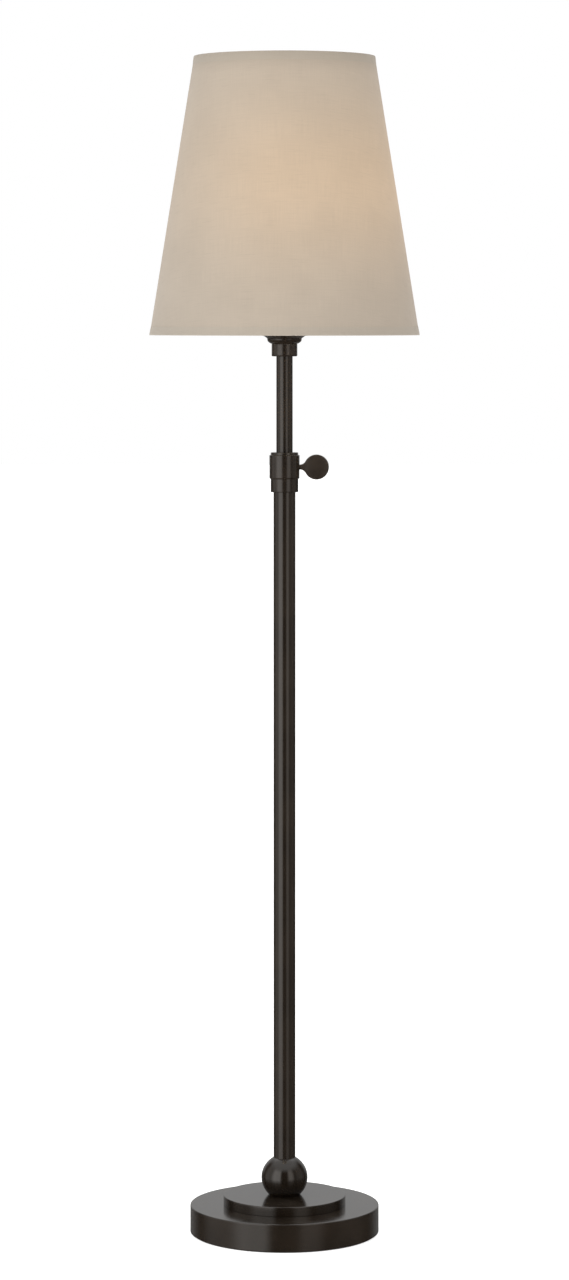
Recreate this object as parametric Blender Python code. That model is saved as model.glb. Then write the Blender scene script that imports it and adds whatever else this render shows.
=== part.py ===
"""Adjustable floor lamp: a round two-tier base, a telescoping column with a thumbscrew clamp and a tapered shade.

The lamp stands on Z = 0 with the column on the Z axis. X runs to the side of the thumbscrew and +Y to the rear,
where the mains lead enters the base. Everything is in metres.
"""

import math

import bmesh
import bpy
from mathutils import Matrix, Vector

MM = 0.001

# Clearances
GAP = 0.3 * MM  # between pieces that touch on the real lamp
TURN_GAP = 0.2 * MM  # radial play of a piece that slides or turns in another
MERGE = 0.001 * MM  # points closer than this are one

# Facets round a turned piece
LARGE_FACETS = 40
MEDIUM_FACETS = 24
SMALL_FACETS = 12
BULB_FACETS = 20
ARC_STEPS = 2  # facets of a quarter-round edge

# Base
FELT_THICKNESS = 2.0 * MM
FELT_PROUD = 1.2 * MM  # how far the felt stands below the shell
SHELL_RADIUS = 90.0 * MM
SHELL_HEIGHT = 26.0 * MM
SHELL_WALL = 1.5 * MM
SHELL_EDGE = 0.8 * MM
STEP_RADIUS = 58.3 * MM
STEP_HEIGHT = 8.9 * MM
STEP_EDGE = 0.5 * MM
WEIGHT_WEB = 5.4 * MM  # iron left above the nut's recess
WEIGHT_GROUND_CLEARANCE = 2.5 * MM
NUT_RECESS_RADIUS = 15.0 * MM
WASHER_RADIUS = 10.0 * MM
WASHER_THICKNESS = 1.0 * MM
NUT_ACROSS_CORNERS = 16.5 * MM
NUT_THICKNESS = 4.0 * MM

# Mains lead and its inlet
LEAD_RADIUS = 2.5 * MM
LEAD_ROOM = 0.5 * MM  # under the lead, above the felt
INLET_HEIGHT = 9.8 * MM  # above the shell's lower edge
INLET_BORE = 4.0 * MM
BUSHING_WALL = 1.2 * MM
BUSHING_FLANGE = 1.8 * MM  # how far the flange stands out round the barrel
BUSHING_FLANGE_THICKNESS = 1.5 * MM
BUSHING_BEHIND = 5.0 * MM  # barrel behind the shell's wall
LEAD_RISE_START = 45.0 * MM  # how far from the axis the lead starts to climb to the inlet
TAIL_RADIUS = 1.1 * MM

# Hollow threaded rods, one through the base and one through the neck
ROD_RADIUS = 5.0 * MM
ROD_BORE = 3.5 * MM
ROD_END = 0.6 * MM  # rod past the nut

# Ball over the base
BALL_RADIUS = 22.0 * MM
BALL_SEAT_DROP = 16.2 * MM  # from the ball's centre to the flat it stands on
TUBE_SEAT_DEPTH = 2.57 * MM  # how deep the column sits in the ball
PLUG_HEIGHT = 15.0 * MM

# Telescoping column
UPPER_TUBE_RADIUS = 7.7 * MM
UPPER_TUBE_WALL = 1.0 * MM
UPPER_TUBE_LENGTH = 543.0 * MM
LOWER_TUBE_WALL = 1.2 * MM
LOWER_TUBE_LENGTH = 653.0 * MM
GLIDE_WALL = 1.1 * MM
GLIDE_HEIGHT = 20.0 * MM
STOP_RING_HEIGHT = 2.0 * MM
END_CAP_HEIGHT = 3.0 * MM
END_CAP_SPIGOT = 6.0 * MM
EXPOSED = 90.2 * MM  # upper tube between the collar and the neck
BOTTOM_STOP = 2.2 * MM  # left between neck and collar at the lowest setting

# Clamp
COLLAR_WALL = 3.5 * MM
COLLAR_HEIGHT = 24.8 * MM
COLLAR_LID = 2.0 * MM
COLLAR_EDGE = 1.2 * MM
COLLAR_SHOULDER = 1.8 * MM
COLLAR_GRIP = 2.7 * MM  # lower tube held inside the collar
FERRULE_WALL = 2.35 * MM
FERRULE_HEIGHT = 12.2 * MM
FERRULE_EDGE = 1.0 * MM
SCREW_HEIGHT = 11.0 * MM  # above the collar's lower face
SCREW_RADIUS = 2.5 * MM
SCREW_PLAY = 0.15 * MM
SCREW_NECK = 4.2 * MM  # shank that shows between collar and disc
DISC_RADIUS = 11.75 * MM
DISC_THICKNESS = 4.4 * MM
DISC_EDGE = 0.8 * MM
PAD_HEAD = 1.9 * MM
PAD_STEM = 2.6 * MM
PAD_STEM_RADIUS = 0.9 * MM

# Neck and cup under the socket
NECK_WALL = 4.1 * MM
NECK_HEIGHT = 11.6 * MM
NECK_GRIP = 8.0 * MM
NECK_EDGE = 1.1 * MM
CUP_FLOOR_RADIUS = 12.4 * MM
CUP_BELLY_RADIUS = 16.15 * MM
CUP_BELLY_HEIGHT = 5.0 * MM
CUP_FLARE = 2.4 * MM
CUP_FLARE_OUT = 3.4 * MM
CUP_LIP_RADIUS = 22.0 * MM
CUP_WALL = 0.8 * MM
SPACER_RADIUS = 9.5 * MM

# Socket
CAP_FLOOR_RADIUS = 8.5 * MM
CAP_FLARE_HEIGHT = 12.0 * MM
CAP_HEIGHT = 20.0 * MM
CAP_WALL = 0.8 * MM
SOCKET_WALL = 0.6 * MM
SOCKET_HEIGHT = 62.0 * MM  # from the cap's floor to the shell's mouth
SOCKET_GRIP = 5.0 * MM  # shell inside the cap
LINER_WALL = 0.7 * MM
LINER_AIR = 1.5 * MM  # between the screw shell and the liner
CORE_WAIST_RADIUS = 10.8 * MM
CORE_BOTTOM = 12.0 * MM
CORE_WAIST_TOP = 22.0 * MM
CORE_TOP = 33.0 * MM
THREAD_RADIUS = 13.2 * MM  # lamp thread, over the crests
THREAD_DEPTH = 0.9 * MM
THREAD_PITCH = 3.6 * MM
THREAD_TURNS = 5
SCREW_SHELL_WALL = 0.4 * MM
SCREW_SHELL_HEIGHT = 24.0 * MM
SCREW_SHELL_HOLE = 5.5 * MM
CONTACT_RADIUS = 4.0 * MM
CONTACT_THICKNESS = 1.6 * MM
TERMINAL_HEIGHT = 17.0 * MM
TERMINAL_RADIUS = 3.0 * MM
TERMINAL_THICKNESS = 1.8 * MM

# Switch key, which turns in the socket
KEY_HEIGHT = 27.0 * MM
KEY_STEM_RADIUS = 1.8 * MM
KEY_STEM_IN = 8.0 * MM  # stem inside the core
KEY_STANDOFF = 7.0 * MM  # from the socket's skin to the paddle
KEY_PADDLE_LENGTH = 15.0 * MM
KEY_PADDLE_HALF_WIDTH = 7.5 * MM
KEY_PADDLE_THICKNESS = 4.4 * MM

# Bulb
BULB_RADIUS = 30.0 * MM
BULB_LENGTH = 108.0 * MM
BULB_WALL = 1.0 * MM
BULB_CAP_WALL = 0.4 * MM
BULB_TIP_RADIUS = 4.5 * MM
BULB_TIP_HEIGHT = 1.5 * MM
BULB_INSULATOR_HEIGHT = 3.0 * MM

# Harp and finial
HARP_WIRE = 1.7 * MM
HARP_BULB_CLEARANCE = 21.0 * MM
HARP_SIDE = ((0.75, 0.22), (1.0, 0.52), (0.93, 0.75), (0.6, 0.93))  # shares of its half width and its rise
HARP_STRAIGHT = 0.07  # the share of its rise in which the wire stands upright in the sleeve
SADDLE_HALF_SPAN = 29.0 * MM
SADDLE_WIDTH = 15.0 * MM
SADDLE_THICKNESS = 1.5 * MM
EAR_WIDTH = 4.0 * MM
EAR_INSET = 0.5 * MM
EAR_HEIGHT = 16.0 * MM
SLEEVE_WALL = 1.3 * MM
SLEEVE_LIFT = 8.0 * MM
SLEEVE_HEIGHT = 16.0 * MM
HARP_SEAT_RADIUS = 7.0 * MM
HARP_SEAT_HEIGHT = 5.0 * MM
STUD_RADIUS = 3.1 * MM
STUD_HEIGHT = 9.0 * MM
FINIAL_RADIUS = 6.5 * MM
FINIAL_HEIGHT = 21.0 * MM
FINIAL_FOOT = 3.0 * MM
FINIAL_WAIST_SHARE = 0.65  # the waist's radius as a share of the knob's
FINIAL_KNOB_START = -50  # degrees below its middle where the knob leaves the waist

# Shade
SHADE_BOTTOM_RADIUS = 127.0 * MM
SHADE_TOP_RADIUS = 84.8 * MM
SHADE_HEIGHT = 259.6 * MM
SHADE_DROP = 0.2 * MM  # the shade's lower rim below the cup's lip
FABRIC_THICKNESS = 0.5 * MM
LINER_THICKNESS = 0.5 * MM
TRIM_THICKNESS = 0.4 * MM
TRIM_WIDTH = 8.0 * MM
FRAME_WIRE = 1.25 * MM
SPIDER_DROP = 25.0 * MM  # from the shade's upper rim to the spider's washer
SPIDER_ARMS = 3
SPIDER_ARM_SHARE = 0.8  # an arm's radius as a share of the ring's
SPIDER_ARM_LEVEL = 1.3  # times the washer's radius over which an arm stays level
SPIDER_ARM_MIDDLE = 0.3  # the share of its rise that an arm has made halfway out
SPIDER_WASHER_RADIUS = 13.0 * MM
SPIDER_WASHER_THICKNESS = 1.5 * MM

# Radii that follow from what fits inside what
GLIDE_RADIUS = UPPER_TUBE_RADIUS + TURN_GAP + GLIDE_WALL
LOWER_TUBE_BORE = GLIDE_RADIUS + TURN_GAP
LOWER_TUBE_RADIUS = LOWER_TUBE_BORE + LOWER_TUBE_WALL
UPPER_TUBE_BORE = UPPER_TUBE_RADIUS - UPPER_TUBE_WALL
COLUMN_FIT = LOWER_TUBE_RADIUS + GAP
COLLAR_RADIUS = COLUMN_FIT + COLLAR_WALL
FERRULE_RADIUS = COLUMN_FIT + FERRULE_WALL
NECK_FIT = UPPER_TUBE_RADIUS + GAP
NECK_RADIUS = NECK_FIT + NECK_WALL
ROD_HOLE = ROD_RADIUS + GAP
BUSHING_RADIUS = INLET_BORE + BUSHING_WALL
SCREW_SHELL_BORE = THREAD_RADIUS + GAP
LINER_RADIUS = SCREW_SHELL_BORE + SCREW_SHELL_WALL + LINER_AIR + LINER_WALL
SOCKET_RADIUS = LINER_RADIUS + GAP + SOCKET_WALL
CORE_RADIUS = LINER_RADIUS - LINER_WALL - GAP
CAP_BORE = SOCKET_RADIUS + GAP
THREAD_ROOT = THREAD_RADIUS - THREAD_DEPTH
BULB_CAP_BORE = THREAD_ROOT - BULB_CAP_WALL
BULB_NECK_RADIUS = THREAD_ROOT - GAP
EAR_AXIS = SADDLE_HALF_SPAN - EAR_INSET - SADDLE_THICKNESS / 2
SLEEVE_BORE = math.hypot(EAR_WIDTH, SADDLE_THICKNESS) / 2 + GAP
FABRIC_INSET = TRIM_THICKNESS + GAP
LINER_INSET = FABRIC_INSET + FABRIC_THICKNESS + GAP
FRAME_INSET = LINER_INSET + LINER_THICKNESS + GAP + FRAME_WIRE

# Heights from the floor up
SHELL_TOP = FELT_PROUD + SHELL_HEIGHT
STEP_BOTTOM = SHELL_TOP + GAP
STEP_TOP = STEP_BOTTOM + STEP_HEIGHT
BALL_CENTRE = STEP_TOP + GAP + BALL_SEAT_DROP
TUBE_FOOT = BALL_CENTRE + math.sqrt(BALL_RADIUS**2 - LOWER_TUBE_RADIUS**2) - TUBE_SEAT_DEPTH
LOWER_TUBE_TOP = TUBE_FOOT + LOWER_TUBE_LENGTH
COLLAR_BOTTOM = LOWER_TUBE_TOP - COLLAR_GRIP
COLLAR_TOP = COLLAR_BOTTOM + COLLAR_HEIGHT
SCREW_AXIS = COLLAR_BOTTOM + SCREW_HEIGHT
NECK_BOTTOM = COLLAR_TOP + EXPOSED
WEIGHT_BOTTOM = FELT_THICKNESS + WEIGHT_GROUND_CLEARANCE
WEIGHT_TOP = SHELL_TOP - SHELL_WALL - GAP
RECESS_CEILING = WEIGHT_TOP - WEIGHT_WEB
WASHER_BOTTOM = RECESS_CEILING - GAP - WASHER_THICKNESS
NUT_BOTTOM = WASHER_BOTTOM - GAP - NUT_THICKNESS
BASE_ROD_BOTTOM = NUT_BOTTOM - ROD_END
PLUG_BOTTOM = TUBE_FOOT + GAP
INLET_AXIS = FELT_PROUD + INLET_HEIGHT
FIXED_LEAD_TOP = BASE_ROD_BOTTOM + LEAD_RADIUS
LOWEST_SETTING = EXPOSED - BOTTOM_STOP

# Heights above the neck's lower face, which is the origin of everything that rises with the upper tube
UPPER_TUBE_BOTTOM = NECK_GRIP - UPPER_TUBE_LENGTH
CUP_BOTTOM = NECK_HEIGHT + GAP
CUP_LIP = CUP_BOTTOM + CUP_BELLY_HEIGHT + CUP_FLARE + CUP_WALL
SADDLE_BOTTOM = CUP_LIP + GAP
SPACER_BOTTOM = CUP_BOTTOM + CUP_WALL + GAP
SOCKET_BOTTOM = SADDLE_BOTTOM + SADDLE_THICKNESS + GAP
NECK_ROD_BOTTOM = NECK_GRIP - PLUG_HEIGHT
NECK_ROD_TOP = SOCKET_BOTTOM + CAP_WALL + NUT_THICKNESS
MOVING_LEAD_TOP = NECK_ROD_TOP + 2.0 * MM
SHADE_BOTTOM = CUP_LIP - SHADE_DROP
SHADE_TOP = SHADE_BOTTOM + SHADE_HEIGHT
WASHER_TOP = SHADE_TOP - SPIDER_DROP
HARP_SEAT_TOP = WASHER_TOP - SPIDER_WASHER_THICKNESS - GAP
SCREW_SHELL_BOTTOM = SOCKET_BOTTOM + CORE_TOP + GAP
BULB_TIP = SCREW_SHELL_BOTTOM + CONTACT_THICKNESS + GAP
BULB_INSULATOR_BOTTOM = BULB_TIP + BULB_TIP_HEIGHT + GAP
BULB_CAP_BOTTOM = BULB_INSULATOR_BOTTOM + BULB_INSULATOR_HEIGHT + GAP
BULB_CAP_HEIGHT = THREAD_PITCH * THREAD_TURNS
KEY_AXIS = SOCKET_BOTTOM + KEY_HEIGHT
MOVING_LEAD_BOTTOM = FIXED_LEAD_TOP + LOWEST_SETTING + BOTTOM_STOP - NECK_BOTTOM


def clear_scene():
    for item in list(bpy.data.objects):
        bpy.data.objects.remove(item)


# Materials


def finish(name, colour, roughness, metallic=0.0):
    material = bpy.data.materials.new(name)
    material.use_nodes = True
    shader = material.node_tree.nodes["Principled BSDF"]
    shader.inputs["Base Color"].default_value = (*colour, 1.0)
    shader.inputs["Roughness"].default_value = roughness
    shader.inputs["Metallic"].default_value = metallic
    return material


def make_finishes():
    return {
        "bronze": finish("bronze", (0.045, 0.036, 0.030), 0.30, 1.0),
        "iron": finish("iron", (0.10, 0.10, 0.10), 0.80, 0.6),
        "steel": finish("steel", (0.55, 0.55, 0.56), 0.35, 1.0),
        "brass": finish("brass", (0.72, 0.52, 0.24), 0.35, 1.0),
        "felt": finish("felt", (0.05, 0.045, 0.04), 0.95),
        "nylon": finish("nylon", (0.75, 0.73, 0.68), 0.50),
        "phenolic": finish("phenolic", (0.03, 0.028, 0.026), 0.45),
        "card": finish("card", (0.28, 0.20, 0.12), 0.90),
        "lead": finish("lead", (0.10, 0.065, 0.04), 0.55),
        "glass": finish("glass", (0.95, 0.92, 0.86), 0.45),
        "linen": finish("linen", (0.66, 0.57, 0.46), 0.90),
        "styrene": finish("styrene", (0.86, 0.84, 0.80), 0.60),
    }


# Shaping tools


def arc(centre, radius, start, end, steps=ARC_STEPS):
    """Points of a circular arc in the plane of an outline, from one angle to another in degrees."""
    angles = [math.radians(start + (end - start) * i / steps) for i in range(steps + 1)]
    return [(centre[0] + radius * math.cos(a), centre[1] + radius * math.sin(a)) for a in angles]


def smooth_route(points, samples):
    """A smooth curve through the points, read at equal steps between each two."""
    ends = [2 * points[0] - points[1], *points, 2 * points[-1] - points[-2]]
    route = []
    for a, b, c, d in zip(ends, ends[1:], ends[2:], ends[3:]):
        for i in range(samples):
            t = i / samples
            bend = (2 * a - 5 * b + 4 * c - d) * t * t + (3 * b - a - 3 * c + d) * t**3
            route.append(b + ((c - a) * t + bend) / 2)
    return [*route, points[-1]]


def mesh_of(shape, name):
    bmesh.ops.remove_doubles(shape, verts=shape.verts, dist=MERGE)
    bmesh.ops.recalc_face_normals(shape, faces=shape.faces)
    mesh = bpy.data.meshes.new(name)
    shape.to_mesh(mesh)
    shape.free()
    return mesh


def place(name, mesh, material, group=None, location=(0, 0, 0)):
    """Puts a finished mesh in the scene as one piece, under the empty of the group that it moves with."""
    piece = bpy.data.objects.new(name, mesh)
    bpy.context.scene.collection.objects.link(piece)
    mesh.materials.append(material)
    mesh.shade_smooth()
    mesh.set_sharp_from_angle(angle=math.radians(35))
    piece.parent = group
    piece.location = location
    return piece


def turned_mesh(name, outline, facets=MEDIUM_FACETS):
    """A shape turned about Z. An outline that starts and ends on the axis stays open there, any other is closed."""
    shape = bmesh.new()
    corners = [shape.verts.new((radius, 0, height)) for radius, height in outline]
    pairs = list(zip(corners, corners[1:]))
    if outline[0][0] > 0 or outline[-1][0] > 0:
        pairs.append((corners[-1], corners[0]))
    edges = [shape.edges.new(pair) for pair in pairs]
    bmesh.ops.spin(
        shape,
        geom=corners + edges,
        cent=(0, 0, 0),
        axis=(0, 0, 1),
        angle=2 * math.pi,
        steps=facets,
        use_merge=True,
    )
    return mesh_of(shape, name)


def ring_outline(inner, outer, bottom, top):
    return [(inner, bottom), (outer, bottom), (outer, top), (inner, top)]


def rod_outline(radius, bottom, top):
    return ring_outline(0, radius, bottom, top)


def bowl(floor_radius, rim_radius, height, wall):
    """The outer and the inner arc of a thin bowl that rises from a flat floor to an upright rim."""
    spread = rim_radius - floor_radius
    radius = (spread**2 + height**2) / (2 * spread)
    centre = (rim_radius - radius, height)
    outer = arc(centre, radius, -math.degrees(math.asin(height / radius)), 0)
    inner = arc(centre, radius - wall, -math.degrees(math.asin((height - wall) / (radius - wall))), 0)
    return outer, inner


def plate_mesh(name, outline, thickness):
    """A flat outline in the XZ plane, extruded along Y to both sides."""
    shape = bmesh.new()
    face = shape.faces.new([shape.verts.new((x, -thickness / 2, z)) for x, z in outline])
    made = bmesh.ops.extrude_face_region(shape, geom=[face])
    moved = [item for item in made["geom"] if isinstance(item, bmesh.types.BMVert)]
    bmesh.ops.translate(shape, verts=moved, vec=(0, thickness, 0))
    return mesh_of(shape, name)


def block_mesh(name, low, high):
    shape = bmesh.new()
    bmesh.ops.create_cube(shape, size=1)
    size = Vector(high) - Vector(low)
    bmesh.ops.scale(shape, vec=size, verts=shape.verts)
    bmesh.ops.translate(shape, vec=Vector(low) + size / 2, verts=shape.verts)
    return mesh_of(shape, name)


def wire_mesh(name, route, radius, sides_level=2):
    """A round wire along a route: a bevelled curve with filled caps, as a mesh."""
    curve = bpy.data.curves.new(name, "CURVE")
    curve.dimensions = "3D"
    curve.bevel_depth = radius
    curve.bevel_resolution = sides_level
    curve.use_fill_caps = True
    spline = curve.splines.new("POLY")
    spline.points.add(len(route) - 1)
    for point, position in zip(spline.points, route):
        point.co = (*position, 1)
    guide = bpy.data.objects.new(name, curve)
    shape = bmesh.new()
    shape.from_mesh(guide.to_mesh())
    guide.to_mesh_clear()
    bpy.data.objects.remove(guide)
    return mesh_of(shape, name)


def combine(piece, mesh, operation, turn=None):
    """Joins a helper shape to a piece, or cuts it out, and keeps the helper out of the model."""
    helper = bpy.data.objects.new(f"{piece.name}_{operation.lower()}", mesh)
    bpy.context.scene.collection.objects.link(helper)
    helper.hide_render = True
    helper.display_type = "WIRE"
    helper.parent = piece
    if turn:
        helper.matrix_local = turn
    modifier = piece.modifiers.new(operation.title(), "BOOLEAN")
    modifier.operation = operation
    modifier.solver = "EXACT"
    modifier.object = helper


def cut(piece, mesh, turn=None):
    combine(piece, mesh, "DIFFERENCE", turn)


def join(piece, mesh, turn=None):
    combine(piece, mesh, "UNION", turn)


def group_at(name, location, turn=(0, 0, 0)):
    """The empty that a rigid group hangs on. Its origin is on the axis that the group moves along or about."""
    empty = bpy.data.objects.new(name, None)
    bpy.context.scene.collection.objects.link(empty)
    empty.location = location
    empty.rotation_euler = turn
    return empty


ALONG_X = Matrix.Rotation(math.pi / 2, 4, "Y")
ALONG_Y = Matrix.Rotation(-math.pi / 2, 4, "X")
AGAINST_Y = Matrix.Rotation(math.pi / 2, 4, "X")


# Base


def base_shell(group, finishes):
    edge = arc((SHELL_RADIUS - SHELL_EDGE, SHELL_HEIGHT - SHELL_EDGE), SHELL_EDGE, 0, 90)
    ceiling = SHELL_HEIGHT - SHELL_WALL
    inside = SHELL_RADIUS - SHELL_WALL
    outline = [(inside, 0), (SHELL_RADIUS, 0), *edge]
    outline += [(ROD_HOLE, SHELL_HEIGHT), (ROD_HOLE, ceiling), (inside, ceiling)]
    mesh = turned_mesh("base_shell", outline, LARGE_FACETS)
    piece = place("base_shell", mesh, finishes["bronze"], group, (0, 0, FELT_PROUD))
    hole = turned_mesh("inlet_hole", rod_outline(BUSHING_RADIUS + GAP, 0, SHELL_RADIUS), SMALL_FACETS)
    cut(piece, hole, Matrix.Translation((0, SHELL_RADIUS / 2, INLET_HEIGHT)) @ ALONG_Y)


def base_step(group, finishes):
    edge = arc((STEP_RADIUS - STEP_EDGE, STEP_HEIGHT - STEP_EDGE), STEP_EDGE, 0, 90)
    outline = [(ROD_HOLE, 0), (STEP_RADIUS, 0), *edge, (ROD_HOLE, STEP_HEIGHT)]
    mesh = turned_mesh("base_step", outline, LARGE_FACETS)
    place("base_step", mesh, finishes["bronze"], group, (0, 0, STEP_BOTTOM))


def base_weight(group, finishes):
    radius = SHELL_RADIUS - SHELL_WALL - GAP
    height = WEIGHT_TOP - WEIGHT_BOTTOM
    mesh = turned_mesh("base_weight", ring_outline(ROD_HOLE, radius, 0, height), LARGE_FACETS)
    piece = place("base_weight", mesh, finishes["iron"], group, (0, 0, WEIGHT_BOTTOM))
    below = -WEIGHT_BOTTOM
    recess = rod_outline(NUT_RECESS_RADIUS, below, RECESS_CEILING - WEIGHT_BOTTOM)
    cut(piece, turned_mesh("nut_recess", recess, SMALL_FACETS))
    half_width = BUSHING_RADIUS + 2 * GAP
    top = INLET_AXIS + half_width - WEIGHT_BOTTOM
    cut(piece, block_mesh("lead_slot", (-half_width, 0, below), (half_width, SHELL_RADIUS, top)))


def base_felt(group, finishes):
    radius = SHELL_RADIUS - SHELL_WALL - GAP
    mesh = turned_mesh("base_felt", rod_outline(radius, 0, FELT_THICKNESS), LARGE_FACETS)
    place("base_felt", mesh, finishes["felt"], group)


def cord_bushing(group, finishes):
    """Its own Z runs out of the base, with its origin at the flange's seat on the shell."""
    inner_end = -SHELL_WALL - BUSHING_BEHIND
    flange = BUSHING_RADIUS + BUSHING_FLANGE
    outline = [(INLET_BORE, inner_end), (BUSHING_RADIUS, inner_end), (BUSHING_RADIUS, 0), (flange, 0)]
    outline += [(flange, BUSHING_FLANGE_THICKNESS), (INLET_BORE, BUSHING_FLANGE_THICKNESS)]
    mesh = turned_mesh("cord_bushing", outline, SMALL_FACETS)
    piece = place("cord_bushing", mesh, finishes["phenolic"], group, (0, SHELL_RADIUS + GAP, INLET_AXIS))
    piece.rotation_euler = (-math.pi / 2, 0, 0)


def base_washer(group, finishes):
    outline = ring_outline(ROD_HOLE, WASHER_RADIUS, 0, WASHER_THICKNESS)
    mesh = turned_mesh("base_washer", outline, SMALL_FACETS)
    place("base_washer", mesh, finishes["steel"], group, (0, 0, WASHER_BOTTOM))


def hex_nut(name, group, finishes, bottom):
    """A six-sided nut, turned with six facets and bored round."""
    solid = turned_mesh(name, rod_outline(NUT_ACROSS_CORNERS / 2, 0, NUT_THICKNESS), 6)
    piece = place(name, solid, finishes["brass"], group, (0, 0, bottom))
    bore = rod_outline(ROD_HOLE, -NUT_THICKNESS, 2 * NUT_THICKNESS)
    cut(piece, turned_mesh("nut_bore", bore, SMALL_FACETS))


def hollow_rod(name, group, finishes, bottom, top):
    outline = ring_outline(ROD_BORE, ROD_RADIUS, 0, top - bottom)
    place(name, turned_mesh(name, outline, SMALL_FACETS), finishes["steel"], group, (0, 0, bottom))


def base_ball(group, finishes):
    """A ball with a flat to stand on, a hole for the rod and a seat for the column. Its origin is its centre."""
    flat_angle = -math.degrees(math.asin(BALL_SEAT_DROP / BALL_RADIUS))
    seat = COLUMN_FIT
    seat_angle = math.degrees(math.acos(seat / BALL_RADIUS))
    floor = TUBE_FOOT - GAP - BALL_CENTRE
    outline = [(ROD_HOLE, -BALL_SEAT_DROP), *arc((0, 0), BALL_RADIUS, flat_angle, seat_angle, 4 * ARC_STEPS)]
    outline += [(seat, floor), (ROD_HOLE, floor)]
    mesh = turned_mesh("base_ball", outline, MEDIUM_FACETS)
    place("base_ball", mesh, finishes["bronze"], group, (0, 0, BALL_CENTRE))


# Column


def lower_tube(group, finishes):
    outline = ring_outline(LOWER_TUBE_BORE, LOWER_TUBE_RADIUS, 0, LOWER_TUBE_LENGTH)
    place("lower_tube", turned_mesh("lower_tube", outline), finishes["bronze"], group, (0, 0, TUBE_FOOT))


def tube_foot_plug(group, finishes):
    outline = ring_outline(ROD_HOLE, LOWER_TUBE_BORE - GAP, 0, PLUG_HEIGHT)
    place("tube_foot_plug", turned_mesh("tube_foot_plug", outline), finishes["steel"], group, (0, 0, PLUG_BOTTOM))


def column_ferrule(group, finishes):
    edge = arc((FERRULE_RADIUS - FERRULE_EDGE, FERRULE_EDGE), FERRULE_EDGE, -90, 0)
    outline = [(COLUMN_FIT, 0), *edge, (FERRULE_RADIUS, FERRULE_HEIGHT), (COLUMN_FIT, FERRULE_HEIGHT)]
    bottom = COLLAR_BOTTOM - GAP - FERRULE_HEIGHT
    place("column_ferrule", turned_mesh("column_ferrule", outline), finishes["bronze"], group, (0, 0, bottom))


def clamp_collar(group, finishes):
    lower_edge = arc((COLLAR_RADIUS - COLLAR_EDGE, COLLAR_EDGE), COLLAR_EDGE, -90, 0)
    upper_edge = arc((COLLAR_RADIUS - COLLAR_SHOULDER, COLLAR_HEIGHT - COLLAR_SHOULDER), COLLAR_SHOULDER, 0, 90)
    lid = COLLAR_HEIGHT - COLLAR_LID
    mouth = UPPER_TUBE_RADIUS + GAP
    outline = [(COLUMN_FIT, 0), *lower_edge, *upper_edge, (mouth, COLLAR_HEIGHT), (mouth, lid), (COLUMN_FIT, lid)]
    mesh = turned_mesh("clamp_collar", outline)
    piece = place("clamp_collar", mesh, finishes["bronze"], group, (0, 0, COLLAR_BOTTOM))
    cut(piece, screw_hole(), Matrix.Translation((0, 0, SCREW_HEIGHT)) @ ALONG_X)


def screw_hole():
    outline = rod_outline(SCREW_RADIUS + SCREW_PLAY, 0, COLLAR_RADIUS + SCREW_NECK)
    return turned_mesh("screw_hole", outline, SMALL_FACETS)


def guide_bush(group, finishes):
    """The plastic bush that the upper tube runs in, held between the lower tube's end and the collar's lid."""
    bottom = LOWER_TUBE_TOP + GAP
    height = COLLAR_TOP - COLLAR_LID - GAP - bottom
    outline = ring_outline(UPPER_TUBE_RADIUS + TURN_GAP, LOWER_TUBE_RADIUS, 0, height)
    mesh = turned_mesh("guide_bush", outline)
    piece = place("guide_bush", mesh, finishes["nylon"], group, (0, 0, bottom))
    cut(piece, screw_hole(), Matrix.Translation((0, 0, SCREW_AXIS - bottom)) @ ALONG_X)


def fixed_lead(group, finishes):
    """The stretch of lead that stays in the base, from the inlet to the foot of the column."""
    low = FELT_THICKNESS + LEAD_ROOM + LEAD_RADIUS
    bend = BASE_ROD_BOTTOM - low
    inner_end = SHELL_RADIUS - SHELL_WALL - BUSHING_BEHIND - 2 * GAP
    corner = [Vector((0, bend + y, z)) for y, z in arc((0, low + bend), bend, 180, 270, 2 * ARC_STEPS)]
    slope = [Vector((0, LEAD_RISE_START, low)), Vector((0, (LEAD_RISE_START + inner_end) / 2, (low + INLET_AXIS) / 2))]
    bushing_end = [Vector((0, inner_end - 2 * LEAD_RADIUS, INLET_AXIS)), Vector((0, inner_end, INLET_AXIS))]
    route = [Vector((0, 0, FIXED_LEAD_TOP)), *corner, *smooth_route([*slope, *bushing_end], ARC_STEPS)]
    place("fixed_lead", wire_mesh("fixed_lead", route, LEAD_RADIUS), finishes["lead"], group)


# Thumbscrew, on an axis whose Z points away from the column


def clamp_pad(group, finishes):
    face = UPPER_TUBE_RADIUS + TURN_GAP
    head = face + PAD_HEAD
    outline = [(0, face), (SCREW_RADIUS, face), (SCREW_RADIUS, head), (PAD_STEM_RADIUS, head)]
    outline += [(PAD_STEM_RADIUS, head + PAD_STEM), (0, head + PAD_STEM)]
    place("clamp_pad", turned_mesh("clamp_pad", outline, SMALL_FACETS), finishes["brass"], group)


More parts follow.
